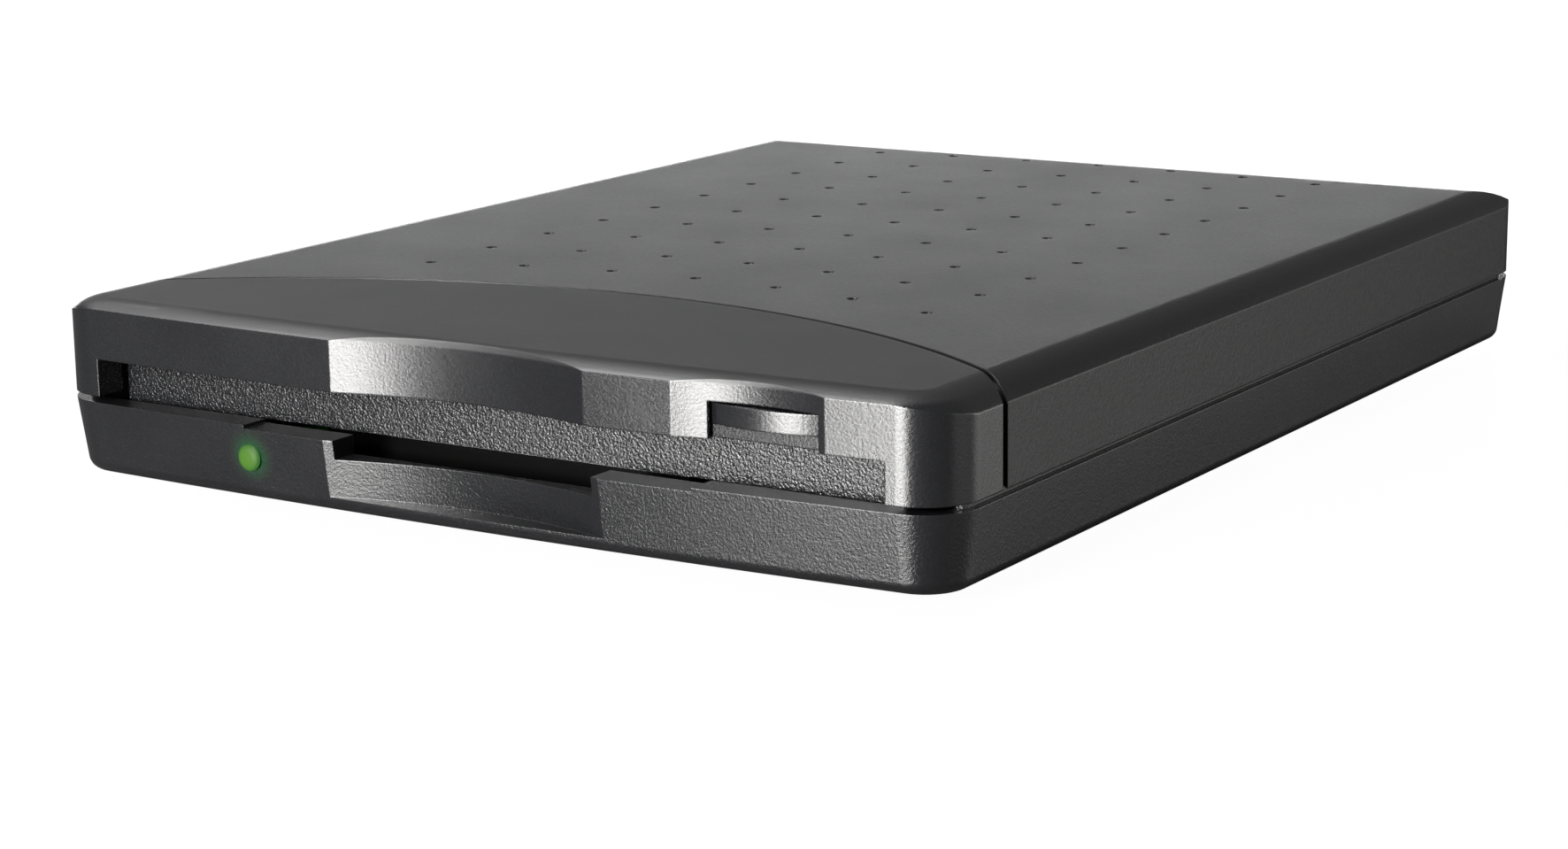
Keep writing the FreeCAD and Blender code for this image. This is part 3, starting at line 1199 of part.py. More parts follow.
def drivePin():
    pin = turned("DrivePin", [("0", "0"), ("drivePinRadius", "0"),
                              ("drivePinRadius", "1.0 + drivePinRise - 0.3"),
                              ("drivePinRadius - 0.3", "1.0 + drivePinRise"), ("0", "1.0 + drivePinRise")],
                 "0", "spindleY + drivePinOffset", "hubTop - 1.0")
    return node("drive_pin", pin)


def hubMagnet():
    """Thin ring magnet on the hub table, which holds the disk's steel hub."""
    ring = cut("HubMagnet", rod("HubRing", "hubRadius - 4.2", "0", "spindleY", ("hubTop", "hubTop + 0.2")),
               rod("HubRingBore", "spindleRadius + 1.2", "0", "spindleY", ("hubTop - 1", "hubTop + 1")))
    return node("hub_magnet", ring)


def rotorMagnet():
    magnetOuter = "rotorRadius - rotorRim"
    ring = cut("RotorMagnet",
               rod("MagnetRing", magnetOuter, "0", "spindleY", ("rotorBottom", "rotorBottom + rotorSkirt")),
               rod("MagnetBore", magnetOuter + " - magnetThick", "0", "spindleY", ("0", "shellTop")))
    return node("rotor_magnet", ring)


statorReach = "(rotorRadius - rotorRim - magnetThick - airGap)"


def polarCopies(name, item, count):
    """Copies of one piece turned about the spindle."""
    copies = []
    for step in range(count):
        link = doc.addObject("Part::Feature", unique(name))
        shape = item.Shape.copy()
        shape.rotate(FreeCAD.Vector(0, size("spindleY"), 0), FreeCAD.Vector(0, 0, 1), 360 * step / count)
        link.Shape = shape
        copies.append(link)
    return copies


def statorCore():
    """Laminated ring with one pole for each coil, each ending in a wider shoe."""
    ring = rod("StatorHub", "statorHubRadius", "0", "spindleY",
               ("frameTop + coilThick", "frameTop + coilThick + statorThick"))
    pole = box("Pole", ("0", f"{statorReach} - 0.5"),
               ("spindleY - poleWidth / 2", "spindleY + poleWidth / 2"),
               ("frameTop + coilThick", "frameTop + coilThick + statorThick"))
    shoe = box("PoleShoe", (f"{statorReach} - 1.2", f"{statorReach} - 0.4"),
               ("spindleY - poleWidth", "spindleY + poleWidth"),
               ("frameTop + coilThick", "frameTop + coilThick + statorThick"))
    arm = fuse("PoleArm", pole, shoe)
    doc.recompute()
    core = fuse("StatorBody", ring, *polarCopies("PoleCopy", arm, int(size("statorPoles"))))
    bore = rod("StatorBore", "bearingRadius", "0", "spindleY", ("0", "shellTop"))
    return node("stator_core", cut("StatorCore", core, bore))


def statorCoils():
    winding = cut("Winding", box("WindingOuter", ("statorHubRadius + 1.4", f"{statorReach} - 1.9"),
                                 ("spindleY - poleWidth / 2 - coilThick",
                                  "spindleY + poleWidth / 2 + coilThick"),
                                 ("frameTop + 0.05", "frameTop + 2 * coilThick + statorThick - 0.05")),
                  box("WindingInner", ("0", "rotorRadius"),
                      ("spindleY - poleWidth / 2", "spindleY + poleWidth / 2"),
                      ("frameTop + coilThick", "frameTop + coilThick + statorThick")))
    doc.recompute()
    return node("stator_coils", group("StatorCoils", *polarCopies("Coil", winding, int(size("statorPoles")))))


# ---------------------------------------------------------------- switches
plungers = (("write_protect_plunger", "-switchX"), ("density_plunger", "switchX"),
            ("disk_in_plunger", "diskInX"))


def switchHousings():
    made = []
    for label, x in plungers:
        block = box("Switch", (f"{x} - switchLength / 2", f"{x} + switchLength / 2"),
                    ("-switchY - switchWidth / 2", "-switchY + switchWidth / 2"),
                    ("frameTop", "frameTop + switchHeight"))
        well = rod("SwitchWell", "plungerRadius + runningClearance", x, "-switchY",
                   ("frameTop + switchHeight - plungerTravel - 0.6", "shellTop"))
        made.append(cut("SwitchHousing", block, well))
    return node("switch_housings", group("SwitchHousings", *made))


def plunger(label, x):
    foot = "switchHeight - 0.45"
    pin = turned("Plunger", [("0", foot), ("plungerRadius", foot),
                             ("plungerRadius", "switchHeight + plungerRise - 0.3"),
                             ("plungerRadius - 0.3", "switchHeight + plungerRise"),
                             ("0", "switchHeight + plungerRise")], x, "-switchY", "frameTop")
    return node(label, pin)


# ---------------------------------------------------------------- head carriage
def guideRod():
    return node("guide_rod", rod("GuideRod", "rodRadius", "rodX", "rodZ", ("rodFront", "rodRear"), "Y"))


def rodClamps():
    made = []
    for near, far in (("rodFront", "rodFront + clampLength"), ("rodRear - clampLength", "rodRear")):
        hold = box("ClampHold", ("rodX - 2.4", "rodX + 2.4"), (near, far),
                   ("frameTop", "rodZ + rodRadius + 0.4"))
        foot = box("ClampFoot", ("rodX + 2.0", "rodX - 2.4 + clampWidth + 0.6"), (near, far),
                   ("frameTop", "frameTop + clampSeat"))
        holes = [rod("ClampBore", "rodRadius", "rodX", "rodZ", ("0", "shellDepth / 2"), "Y"),
                 rod("ClampHole", "machineRadius", "rodX + 5", f"({near} + {far}) / 2", ("0", "shellTop"))]
        made.append(cut("RodClamp", fuse("ClampBody", hold, foot), *holes))
    return node("rod_clamps", group("RodClamps", *made))


def headCarriage():
    """Moulded carriage: sleeve on the rod, lower arm under the disk, tower for the upper arm, screw arm."""
    sleeve = box("Sleeve", ("rodX - rodRadius - sleeveWall - 0.6", "rodX + rodRadius + sleeveWall"),
                 ("sleeveFront", "carriageRear"), ("rodZ - rodRadius - 0.25", "rodZ + rodRadius + 0.3"))
    arm = box("LowerArm", ("-carriageArmHalf", "carriageArmHalf"),
              ("headY - headWidth / 2 - 1.2", "carriageFront + 0.1"),
              ("frameTop + carriageArmLift", "frameTop + carriageArmLift + carriageArmThick"))
    tower = box("Tower", ("-carriageHalf", "carriageHalf"), ("carriageFront", "carriageRear"),
                ("frameTop + 0.8", "armPinZ - armKnuckle - 0.3"))
    web = box("SleeveWeb", ("carriageHalf - 1", "rodX"), ("carriageFront", "carriageRear"),
              ("rodZ - rodRadius", "rodZ + rodRadius + 0.3"))
    ears = [box("ArmEar", (low, high), ("armPinY - 1.7", "armPinY + 1.7"),
                ("armPinZ - armKnuckle - 0.4", "armPinZ + 1.3")) for low,
            high in (("carriageHalf - earThick", "carriageHalf"),
                     ("-carriageHalf", "-carriageHalf + earThick"))]
    screwArm = box("ScrewArm", ("-stepperX - 1.4", "-carriageHalf + 1"),
                   ("followerY - followerWidth / 2", "followerY + followerWidth / 2"),
                   ("screwZ - screwRadius - 2.0", "screwZ - screwRadius - 1.0"))
    flag = box("Flag", ("rodX + rodRadius + sleeveWall - 0.2", "rodX + rodRadius + sleeveWall + 5"),
               ("carriageRear - 4", "carriageRear - 3"), ("rodZ - 0.4", "rodZ + 0.4"))
    holes = [rod("SleeveBore", "rodRadius + runningClearance", "rodX", "rodZ", ("0", "shellDepth"), "Y"),
             rod("EarBore", "armPinRadius", "armPinY", "armPinZ", ("-carriageHalf - 1", "carriageHalf + 1"),
                 "X"), rod("HeadSeat", "1.4", "0", "headY", ("frameTop", "shellTop"))]
    return node("head_carriage", cut("HeadCarriage",
                                     fuse("CarriageBody", sleeve, arm, tower, web, *ears, screwArm, flag),
                                     *holes))


def screwFollower():
    """Pin whose nose runs in the groove of the lead screw."""
    pin = turned("ScrewFollower", [("0", "0"), ("0.7", "0"), ("0.7", "0.6"), ("0.35", "0.92"), ("0", "0.92")],
                 "-stepperX", "followerY", "screwZ - screwRadius - 1.0")
    return node("screw_follower", pin)


def lowerHead():
    low = "frameTop + carriageArmLift + carriageArmThick"
    block = box("LowerHead", ("-headWidth / 2", "headWidth / 2"),
                ("headY - headWidth / 2", "headY + headWidth / 2"), (low, "mediumLevel - 0.05"))
    groove = box("HeadGroove", ("-0.5", "0.5"), ("headY - headWidth", "headY + headWidth"),
                 ("mediumLevel - 0.35", "mediumLevel + 1"))
    return node("lower_head", cut("LowerHeadBlock", block, groove))


def lifted(item):
    """Turn a piece about the arm's pin to the raised position that it has with no disk loaded."""
    item.Placement = FreeCAD.Placement(FreeCAD.Vector(),
                                       FreeCAD.Rotation(FreeCAD.Vector(1, 0, 0), -size("armLiftAngle")))
    return put(item, "0", "armPinY", "armPinZ")


def upperArm():
    reach = "(armPinY - headY)"
    sheetArm = box("ArmSheet", ("-armHalf", "armHalf"), (f"-{reach} - headWidth / 2 - 0.6", "0"),
                   ("-armThick * 0.7", "armThick * 0.3"))
    knuckle = rod("ArmKnuckle", "armKnuckle", "0", "0", ("-armHalf", "armHalf"), "X")
    bore = rod("ArmBore", "armPinRadius + runningClearance", "0", "0", ("-armHalf - 1", "armHalf + 1"), "X")
    relief = box("ArmRelief", ("-1.6", "1.6"), (f"-{reach} + headWidth", "-5"), ("-armThick", "armThick"))
    return node("upper_head_arm", lifted(cut("UpperArm", fuse("ArmBody", sheetArm, knuckle), bore, relief)))


def upperHead():
    reach = "(armPinY - headY)"
    block = box("UpperHeadBlock", ("-headWidth / 2", "headWidth / 2"),
                (f"-{reach} - headWidth / 2", f"-{reach} + headWidth / 2"),
                ("-armPinAboveMedium + 0.05", "-armThick * 0.7"))
    groove = box("UpperGroove", ("-0.5", "0.5"), (f"-{reach} - headWidth", f"-{reach} + headWidth"),
                 ("-armPinAboveMedium - 1", "-armPinAboveMedium + 0.35"))
    return node("upper_head", lifted(cut("UpperHead", block, groove)))


def armPin():
    return node("arm_pin", rod("ArmPin", "armPinRadius", "armPinY", "armPinZ",
                               ("-carriageHalf - 2.6", "carriageHalf + 0.4"), "X"))


def armSpring():
    """Torsion spring that presses the upper arm down, on the free end of the arm's pin."""
    wire = size("armSpringWire")
    radius = size("armPinRadius") + size("armSpringPlay") + wire / 2
    return node("arm_spring", coil("ArmSpring", radius, wire, size("armSpringLength"), size("armSpringTurns"),
                                   "-carriageHalf - armSpringOffset", "armPinY", "armPinZ", "X"))


# ---------------------------------------------------------------- stepper motor and lead screw
def stepperMotor():
    body = rod("StepperCan", "stepperRadius", "-stepperX", "screwZ",
               ("stepperFront", "stepperFront + stepperLength"), "Y")
    band = rod("StepperBand", "stepperRadius + 0.3", "-stepperX", "screwZ",
               ("stepperFront + stepperLength / 2 - 0.4", "stepperFront + stepperLength / 2 + 0.4"), "Y")
    tail = box("StepperTail", ("-stepperX + stepperRadius - 1", "-stepperX + stepperRadius + 1.6"),
               ("stepperFront + 2", "stepperFront + stepperLength - 2"), ("screwZ - 2", "screwZ + 2"))
    bore = rod("StepperBore", "screwJournal + runningClearance", "-stepperX", "screwZ",
               ("stepperFront - 1", "stepperFront + stepperLength - 0.8"), "Y")
    return node("stepper_motor", cut("StepperMotor", fuse("StepperBody", body, band, tail), bore))


def stepperBracket():
    low = "frameTop"
    base = box("BracketBase", ("-stepperX - bracketHalf", "-stepperX + bracketHalf"),
               ("bracketFront", "stepperFront"), (low, "frameTop + bracketPlate"))
    front = box("BracketFront", ("-stepperX - 2.8", "-stepperX + 2.8"),
                ("bracketFront", "bracketFront + bracketPlate"), (low, "screwZ + 2.8"))
    rear = box("BracketRear", ("-stepperX - bracketHalf", "-stepperX + bracketHalf"),
               ("stepperFront - bracketPlate", "stepperFront"), (low, "screwZ + stepperRadius"))
    holes = [rod("BushHole", "bearingBush", "-stepperX", "screwZ", ("0", "bracketFront + bracketPlate + 1"),
                 "Y"), rod("MotorHole", "bearingBush + 0.4", "-stepperX", "screwZ",
                           ("stepperFront - 2", "stepperFront + 1"), "Y")]
    holes += [rod("BracketHole", "machineRadius", x, y, ("0", "frameTop + 1")) for x, y in bracketScrews]
    return node("stepper_bracket", cut("StepperBracket", fuse("BracketBody", base, front, rear), *holes))


def screwBearing():
    bush = turned("ScrewBearing", [("screwJournal + runningClearance", "0"), ("bearingBush + 0.6", "0"),
                                   ("bearingBush + 0.6", "-0.5"), ("bearingBush", "-0.5"),
                                   ("bearingBush", "-0.5 - bracketPlate"),
                                   ("screwJournal + runningClearance", "-0.5 - bracketPlate")], "-stepperX",
                  "bracketFront + bracketPlate + 0.5", "screwZ", "Y")
    return node("screw_bearing", bush)


def leadScrew():
    """Ground shaft with one helical groove; plain journals at both ends."""
    front, rear = "bracketFront + bracketPlate + 0.75", "stepperFront - bracketPlate - 0.05"
    thread = rod("ScrewThread", "screwRadius", "-stepperX", "screwZ", (front, rear), "Y")
    journals = rod("ScrewJournal", "screwJournal", "-stepperX", "screwZ",
                   ("bracketFront - 0.3", "stepperFront + stepperLength - 1.2"), "Y")
    doc.recompute()
    length = size("stepperFront") - size("bracketFront") + size("screwLead")
    helix = Part.makeHelix(size("screwLead"), length, size("screwRadius"))
    ring = Part.Wire([Part.makeCircle(size("screwGroove"), FreeCAD.Vector(size("screwRadius"), 0, 0),
                                      FreeCAD.Vector(0, 1, 0))])
    groove = doc.addObject("Part::Feature", "ScrewGroove")
    groove.Shape = Part.Wire(helix.Edges).makePipeShell([ring], True, True)
    groove.Placement = FreeCAD.Placement(FreeCAD.Vector(), turns["Y"])
    put(groove, "-stepperX", "bracketFront - screwLead / 2", "screwZ")
    return node("lead_screw", fuse("LeadScrew", cut("GroovedShaft", thread, groove), journals))


def trackSensor():
    """Light barrier that a flag on the carriage enters at track zero."""
    x, y = "(rodX + rodRadius + sleeveWall + 7.6)", "(carriageRear - 3.5)"
    block = box("SensorBlock", (f"{x} - 5", f"{x} + 1.6"), (f"{y} - 1.6", f"{y} + 1.6"),
                ("frameTop", "rodZ + 3"))
    gap = box("SensorGap", (f"{x} - 6", f"{x} - 1.8"), (f"{y} - 3", f"{y} + 3"), ("rodZ - 0.8", "rodZ + 0.8"))
    return node("track_zero_sensor", cut("TrackSensor", block, gap))


# ---------------------------------------------------------------- interface board, socket and ribbon
def linkBoard():
    board = box("LinkBoardBlank", ("-linkBoardHalf", "linkBoardHalf"), ("linkBoardFront", "linkBoardRear"),
                ("linkBoardBottom", "linkBoardTop"))
    holes = [rod("LinkHole", "machineRadius", x, "linkScrewY", ("0", "shellTop"))
             for x in ("linkScrewLeft", "linkScrewRight")]
    return node("interface_board", cut("LinkBoard", board, *holes))


def linkParts():
    """Bridge chip, crystal can and a few capacitors along the interface board."""
    z = "linkBoardTop"
    chip = box("BridgeChip", ("11", "18"), ("linkBoardFront + 0.6", "linkBoardFront + 5.6"),
               (z, "linkBoardTop + chipHeight"))
    can = box("CrystalCan", ("21", "25.4"), ("linkBoardFront + 1.4", "linkBoardFront + 3.4"),
              (z, "linkBoardTop + 1.3"))
    parts = [chip, can]
    for step in range(4):
        x = f"-9 - 3.2 * {step}"
        parts.append(box("Capacitor", (x, f"{x} + 1.6"), ("linkBoardFront + 1", "linkBoardFront + 1.9"),
                         (z, "linkBoardTop + 0.7")))
    return node("interface_parts", group("LinkParts", *parts))


def socketShell():
    left, right = "socketX - socketWidth / 2", "socketX + socketWidth / 2"
    outer = box("SocketOuter", (left, right), ("socketRear - socketLength", "socketRear"),
                ("linkBoardTop", "socketTop"))
    inner = box("SocketInner", (f"{left} + socketPlate", f"{right} - socketPlate"),
                ("socketRear - socketLength + socketPlate", "socketRear + 1"),
                ("linkBoardTop + socketPlate", "socketTop - socketPlate"))
    return node("socket_shell", cut("SocketShell", outer, inner))


def socketTongue():
    """Moulded insert: a block at the back of the shell and the contact tongue."""
    block = box("InsertBlock",
                ("socketX - socketWidth / 2 + socketPlate", "socketX + socketWidth / 2 - socketPlate"),
                ("socketRear - socketLength + socketPlate", "socketRear - socketLength + 2.2"),
                ("linkBoardTop + socketPlate", "socketTop - socketPlate"))
    middle = "(linkBoardTop + socketTop) / 2"
    tongue = box("InsertTongue", ("socketX - tongueWidth / 2", "socketX + tongueWidth / 2"),
                 ("socketRear - socketLength + 2", "socketRear - 1.2"),
                 (f"{middle} - tongueThick / 2", f"{middle} + tongueThick / 2"))
    return node("socket_insert", fuse("SocketInsert", block, tongue))


ribbonLevel = "(boardTop + 0.35)"


def ribbonSockets():
    made = []
    left = "-ribbonX - ribbonWidth / 2 - ribbonSocketMargin"
    right = "-ribbonX + ribbonWidth / 2 + ribbonSocketMargin"
    for near, far, base, cutFrom, cutTo in (
            ("boardRear - 0.6 - ribbonSocketLength", "boardRear - 0.6", "boardTop",
             "boardRear - 2.4", "boardRear"),
            ("linkBoardFront + 0.3", "linkBoardFront + 0.3 + ribbonSocketLength", "linkBoardTop",
             "linkBoardFront", "linkBoardFront + 2.1")):
        block = box("RibbonSocketBlock", (left, right), (near, far), (base, f"{base} + ribbonSocketHeight"))
        slit = box("RibbonSlit", ("-ribbonX - ribbonWidth / 2", "-ribbonX + ribbonWidth / 2"),
                   (cutFrom, cutTo), (ribbonLevel, f"{ribbonLevel} + ribbonThick"))
        made.append(cut("RibbonSocket", block, slit))
    return node("ribbon_sockets", group("RibbonSockets", *made))


def ribbonCable():
    return node("ribbon_cable", box("RibbonCable",
                                    ("-ribbonX - ribbonWidth / 2", "-ribbonX + ribbonWidth / 2"),
                                    ("boardRear - 2.4", "linkBoardFront + 2.1"),
                                    (ribbonLevel, f"{ribbonLevel} + ribbonThick")))


# ---------------------------------------------------------------- build, test and write
for make in (topCover, frontBezel, bottomCase, rubberFeet, caseScrews, frameScrews, ledLens, slotDoor,
             doorPin, doorSpring, ejectButton, driveFrame, topPlate, machineScrews, datumPins, diskCarrier,
             pinsOfCarrier, slidePlate, slideGuideStuds, slideSprings, latchLever, latchPost, latchSpring,
             motorBoard, driverChips, ledEmitter, spindleBearing, spindleShaft, spindleRotor, drivePin,
             hubMagnet, rotorMagnet, statorCore, statorCoils, switchHousings, guideRod, rodClamps,
             headCarriage, screwFollower, lowerHead, upperArm, upperHead, armPin, armSpring, stepperMotor,
             stepperBracket, screwBearing, leadScrew, trackSensor, linkBoard, linkParts, socketShell,
             socketTongue, ribbonSockets, ribbonCable):
    make()
for label, x in plungers:
    plunger(label, x)
doc.recompute()

for item in doc.Objects:
    if "Invalid" in item.State or "Error" in item.State:
        raise RuntimeError(f"{item.Name} ({item.Label}) failed: {item.State}")
for item in nodes:
    if item.Shape.isNull() or not item.Shape.isValid() or not item.Shape.Solids:
        raise RuntimeError(f"{item.Label} has no valid solid")

os.makedirs("parts", exist_ok=True)
for item in nodes:
    item.Shape.exportStep(f"parts/{item.Label}.step")
print(f"{len(nodes)} nodes, {sum(len(item.Shape.Solids) for item in nodes)} solids")
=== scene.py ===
import json
import math

import bmesh
import bpy
import numpy as np
from mathutils import Matrix, Vector


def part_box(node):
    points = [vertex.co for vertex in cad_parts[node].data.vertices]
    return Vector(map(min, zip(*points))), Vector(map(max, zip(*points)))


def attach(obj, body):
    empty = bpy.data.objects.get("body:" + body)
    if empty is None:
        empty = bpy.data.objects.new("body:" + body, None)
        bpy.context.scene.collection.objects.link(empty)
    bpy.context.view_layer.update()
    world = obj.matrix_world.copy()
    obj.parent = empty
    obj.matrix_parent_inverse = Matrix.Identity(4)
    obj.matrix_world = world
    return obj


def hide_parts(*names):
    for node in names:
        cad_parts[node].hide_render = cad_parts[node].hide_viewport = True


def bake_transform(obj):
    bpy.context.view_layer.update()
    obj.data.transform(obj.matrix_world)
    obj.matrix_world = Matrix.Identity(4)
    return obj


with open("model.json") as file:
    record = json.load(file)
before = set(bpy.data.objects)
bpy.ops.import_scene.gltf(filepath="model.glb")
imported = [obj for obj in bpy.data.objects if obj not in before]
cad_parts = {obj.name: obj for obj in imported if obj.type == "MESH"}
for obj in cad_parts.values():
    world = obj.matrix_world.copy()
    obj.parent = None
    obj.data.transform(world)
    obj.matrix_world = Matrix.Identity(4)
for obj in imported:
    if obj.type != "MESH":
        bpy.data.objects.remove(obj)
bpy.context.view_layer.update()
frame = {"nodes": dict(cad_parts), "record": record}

mm = 0.001
scene = bpy.context.scene
record = frame["record"]
nodeBody = {node: body for body, nodes in record["behaviour"]["bodies"].items() for node in nodes}
nodeSlot = {part["node"]: part["material_slot"] for part in record["subparts"]}
print("stage: frame loaded,", len(frame["nodes"]), "nodes")


camera = {
    "azimuth": 32.404,  # degrees round from the front, towards the button's side
    "elevation": 12.66,
    "roll": -0.753,
    "distance": 364.03 * mm,
    "aimRight": -7.079 * mm,  # aim beside and below the middle of the shell's underside
    "aimUp": -3.085 * mm,
    "lift": 0.8 * mm,  # height of the underside
    "lens": 75.83,
    "sensor": 36.0,
    "near": 10 * mm,
    "far": 20.0,
}


def makeCamera(look):
    turn, tilt, roll = (math.radians(look[key]) for key in ("azimuth", "elevation", "roll"))
    flat = math.cos(tilt)
    back = Vector((math.sin(turn) * flat, -math.cos(turn) * flat, math.sin(tilt)))
    right = Vector((math.cos(turn), math.sin(turn), 0))
    up = back.cross(right)
    aim = right * look["aimRight"] + up * look["aimUp"] + Vector((0, 0, look["lift"]))
    spot = aim + back * look["distance"]
    rolledRight = right * math.cos(roll) + up * math.sin(roll)
    rolledUp = up * math.cos(roll) - right * math.sin(roll)
    data = bpy.data.cameras.new("viewCamera")
    data.sensor_fit, data.sensor_width, data.lens = "HORIZONTAL", look["sensor"], look["lens"]
    data.clip_start, data.clip_end = look["near"], look["far"]
    viewer = bpy.data.objects.new("viewCamera", data)
    axes = Matrix((rolledRight, rolledUp, back)).transposed().to_4x4()
    viewer.matrix_world = Matrix.Translation(spot) @ axes
    scene.collection.objects.link(viewer)
    scene.camera = viewer


# name: bearing in degrees from the front, height of its middle, distance, width, height, radiance, colour
lamps = {
    "frontBox": (-8.5, 0.135, 0.50, 0.160, 0.25, 40.0, (1.0, 0.99, 0.975)),
    "rearCard": (219, 0.040, 0.90, 0.80, 0.076, 5.6, (1.0, 1.0, 1.0)),
    "sideCard": (136, 0.170, 0.70, 0.36, 0.34, 2.3, (1.0, 0.985, 0.97)),
    "rightCard": (95, 0.080, 0.60, 0.40, 0.30, 0.75, (1.0, 1.0, 1.0)),
    "overCard": (-95, 0.600, 0.37, 0.40, 0.30, 5.0, (1.0, 1.0, 1.0)),
}
surround = {"seen": (1.0, 1.0, 1.0), "light": (1.0, 1.0, 1.0), "strength": 0.15}
floorLook = {
    "half": 3.0,
    "colour": (0.14, 0.14, 0.14),
    "darker": 0.985,  # its broad patches
    "patch": 0.4,
    "roughness": 0.18,
    "ior": 1.8,
    "white": 1.25,
    "shadow": 0.22,  # how much of the real shading shows far from the object
    "near": 0.09,  # the shading shows whole within this distance, and fades over the next
    "fade": 0.12,
}


def makeLamps(setup):
    for name, (bearing, height, distance, width, tall, radiance, colour) in setup.items():
        turn = math.radians(bearing)
        data = bpy.data.lights.new(name, "AREA")
        data.shape, data.size, data.size_y = "RECTANGLE", width, tall
        data.energy, data.color = radiance * math.pi * width * tall, colour
        lamp = bpy.data.objects.new(name, data)
        lamp.location = (distance * math.sin(turn), -distance * math.cos(turn), height)
        lamp.rotation_euler = (-lamp.location).to_track_quat("-Z", "Y").to_euler()
        lamp.visible_camera = False
        scene.collection.objects.link(lamp)


# shader maths: a socket that takes part in Python expressions

class Wire:
    def __init__(self, graph, link):
        self.graph, self.link = graph, link

    def join(self, operation, other, flip=False):
        values = (other, self) if flip else (self, other)
        return self.graph.add("ShaderNodeMath", {"operation": operation}, values)

    def __add__(self, other): return self.join("ADD", other)

    def __radd__(self, other): return self.join("ADD", other)

    def __sub__(self, other): return self.join("SUBTRACT", other)

    def __rsub__(self, other): return self.join("SUBTRACT", other, True)

    def __mul__(self, other): return self.join("MULTIPLY", other)

    def __truediv__(self, other): return self.join("DIVIDE", other)

    def __pow__(self, other): return self.join("POWER", other)

    def clip(self): return self.graph.add("ShaderNodeClamp", {}, {"Value": self, "Min": 0.0, "Max": 1.0})

    def above(self, edge): return self.join("GREATER_THAN", edge)


edgeSamples = 6  # of the node that softens edges


class Graph:
    def __init__(self, name):
        self.material = bpy.data.materials.new(name)
        self.material.use_nodes = True
        self.nodes, self.links = self.material.node_tree.nodes, self.material.node_tree.links
        self.shader = self.nodes["Principled BSDF"]
        self.place = self.add("ShaderNodeTexCoord", {}, {}, "Object")

    def add(self, kind, settings, values, output=0):
        node = self.nodes.new(kind)
        for key, value in settings.items():
            setattr(node, key, value)
        pairs = values.items() if isinstance(values, dict) else enumerate(values)
        for key, value in pairs:
            self.feed(node.inputs[key], value)
        return Wire(self, node.outputs[output])

    def feed(self, socket, value):
        if isinstance(value, Wire):
            self.links.new(value.link, socket)
        elif isinstance(value, tuple) and len(socket.default_value) == 4 and len(value) == 3:
            socket.default_value = (*value, 1.0)
        else:
            socket.default_value = value

    def set(self, **values):
        for key, value in values.items():
            self.feed(self.shader.inputs[key.replace("_", " ")], value)

    def along(self, axis):
        return self.add("ShaderNodeSeparateXYZ", {}, [self.place], axis)

    def noise(self, size, detail=3.0, rough=0.55, stretch=(1, 1, 1)):
        place = self.place
        if stretch != (1, 1, 1):
            place = self.add("ShaderNodeMapping", {}, {"Vector": place, "Scale": stretch})
        values = {"Vector": place, "Scale": 1 / size, "Detail": detail, "Roughness": rough}
        return self.add("ShaderNodeTexNoise", {}, values)

    def cells(self, size):
        return self.add("ShaderNodeTexVoronoi", {}, {"Vector": self.place, "Scale": 1 / size}, "Color")

    def blend(self, factor, first, second):
        return self.add("ShaderNodeMix", {"data_type": "RGBA"}, {0: factor, 6: first, 7: second}, 2)

    def bump(self, height, depth, edge=0.0):
        values = {"Height": height, "Distance": depth}
        if edge:
            values["Normal"] = self.add("ShaderNodeBevel", {"samples": edgeSamples}, {"Radius": edge})
        self.set(Normal=self.add("ShaderNodeBump", {}, values))


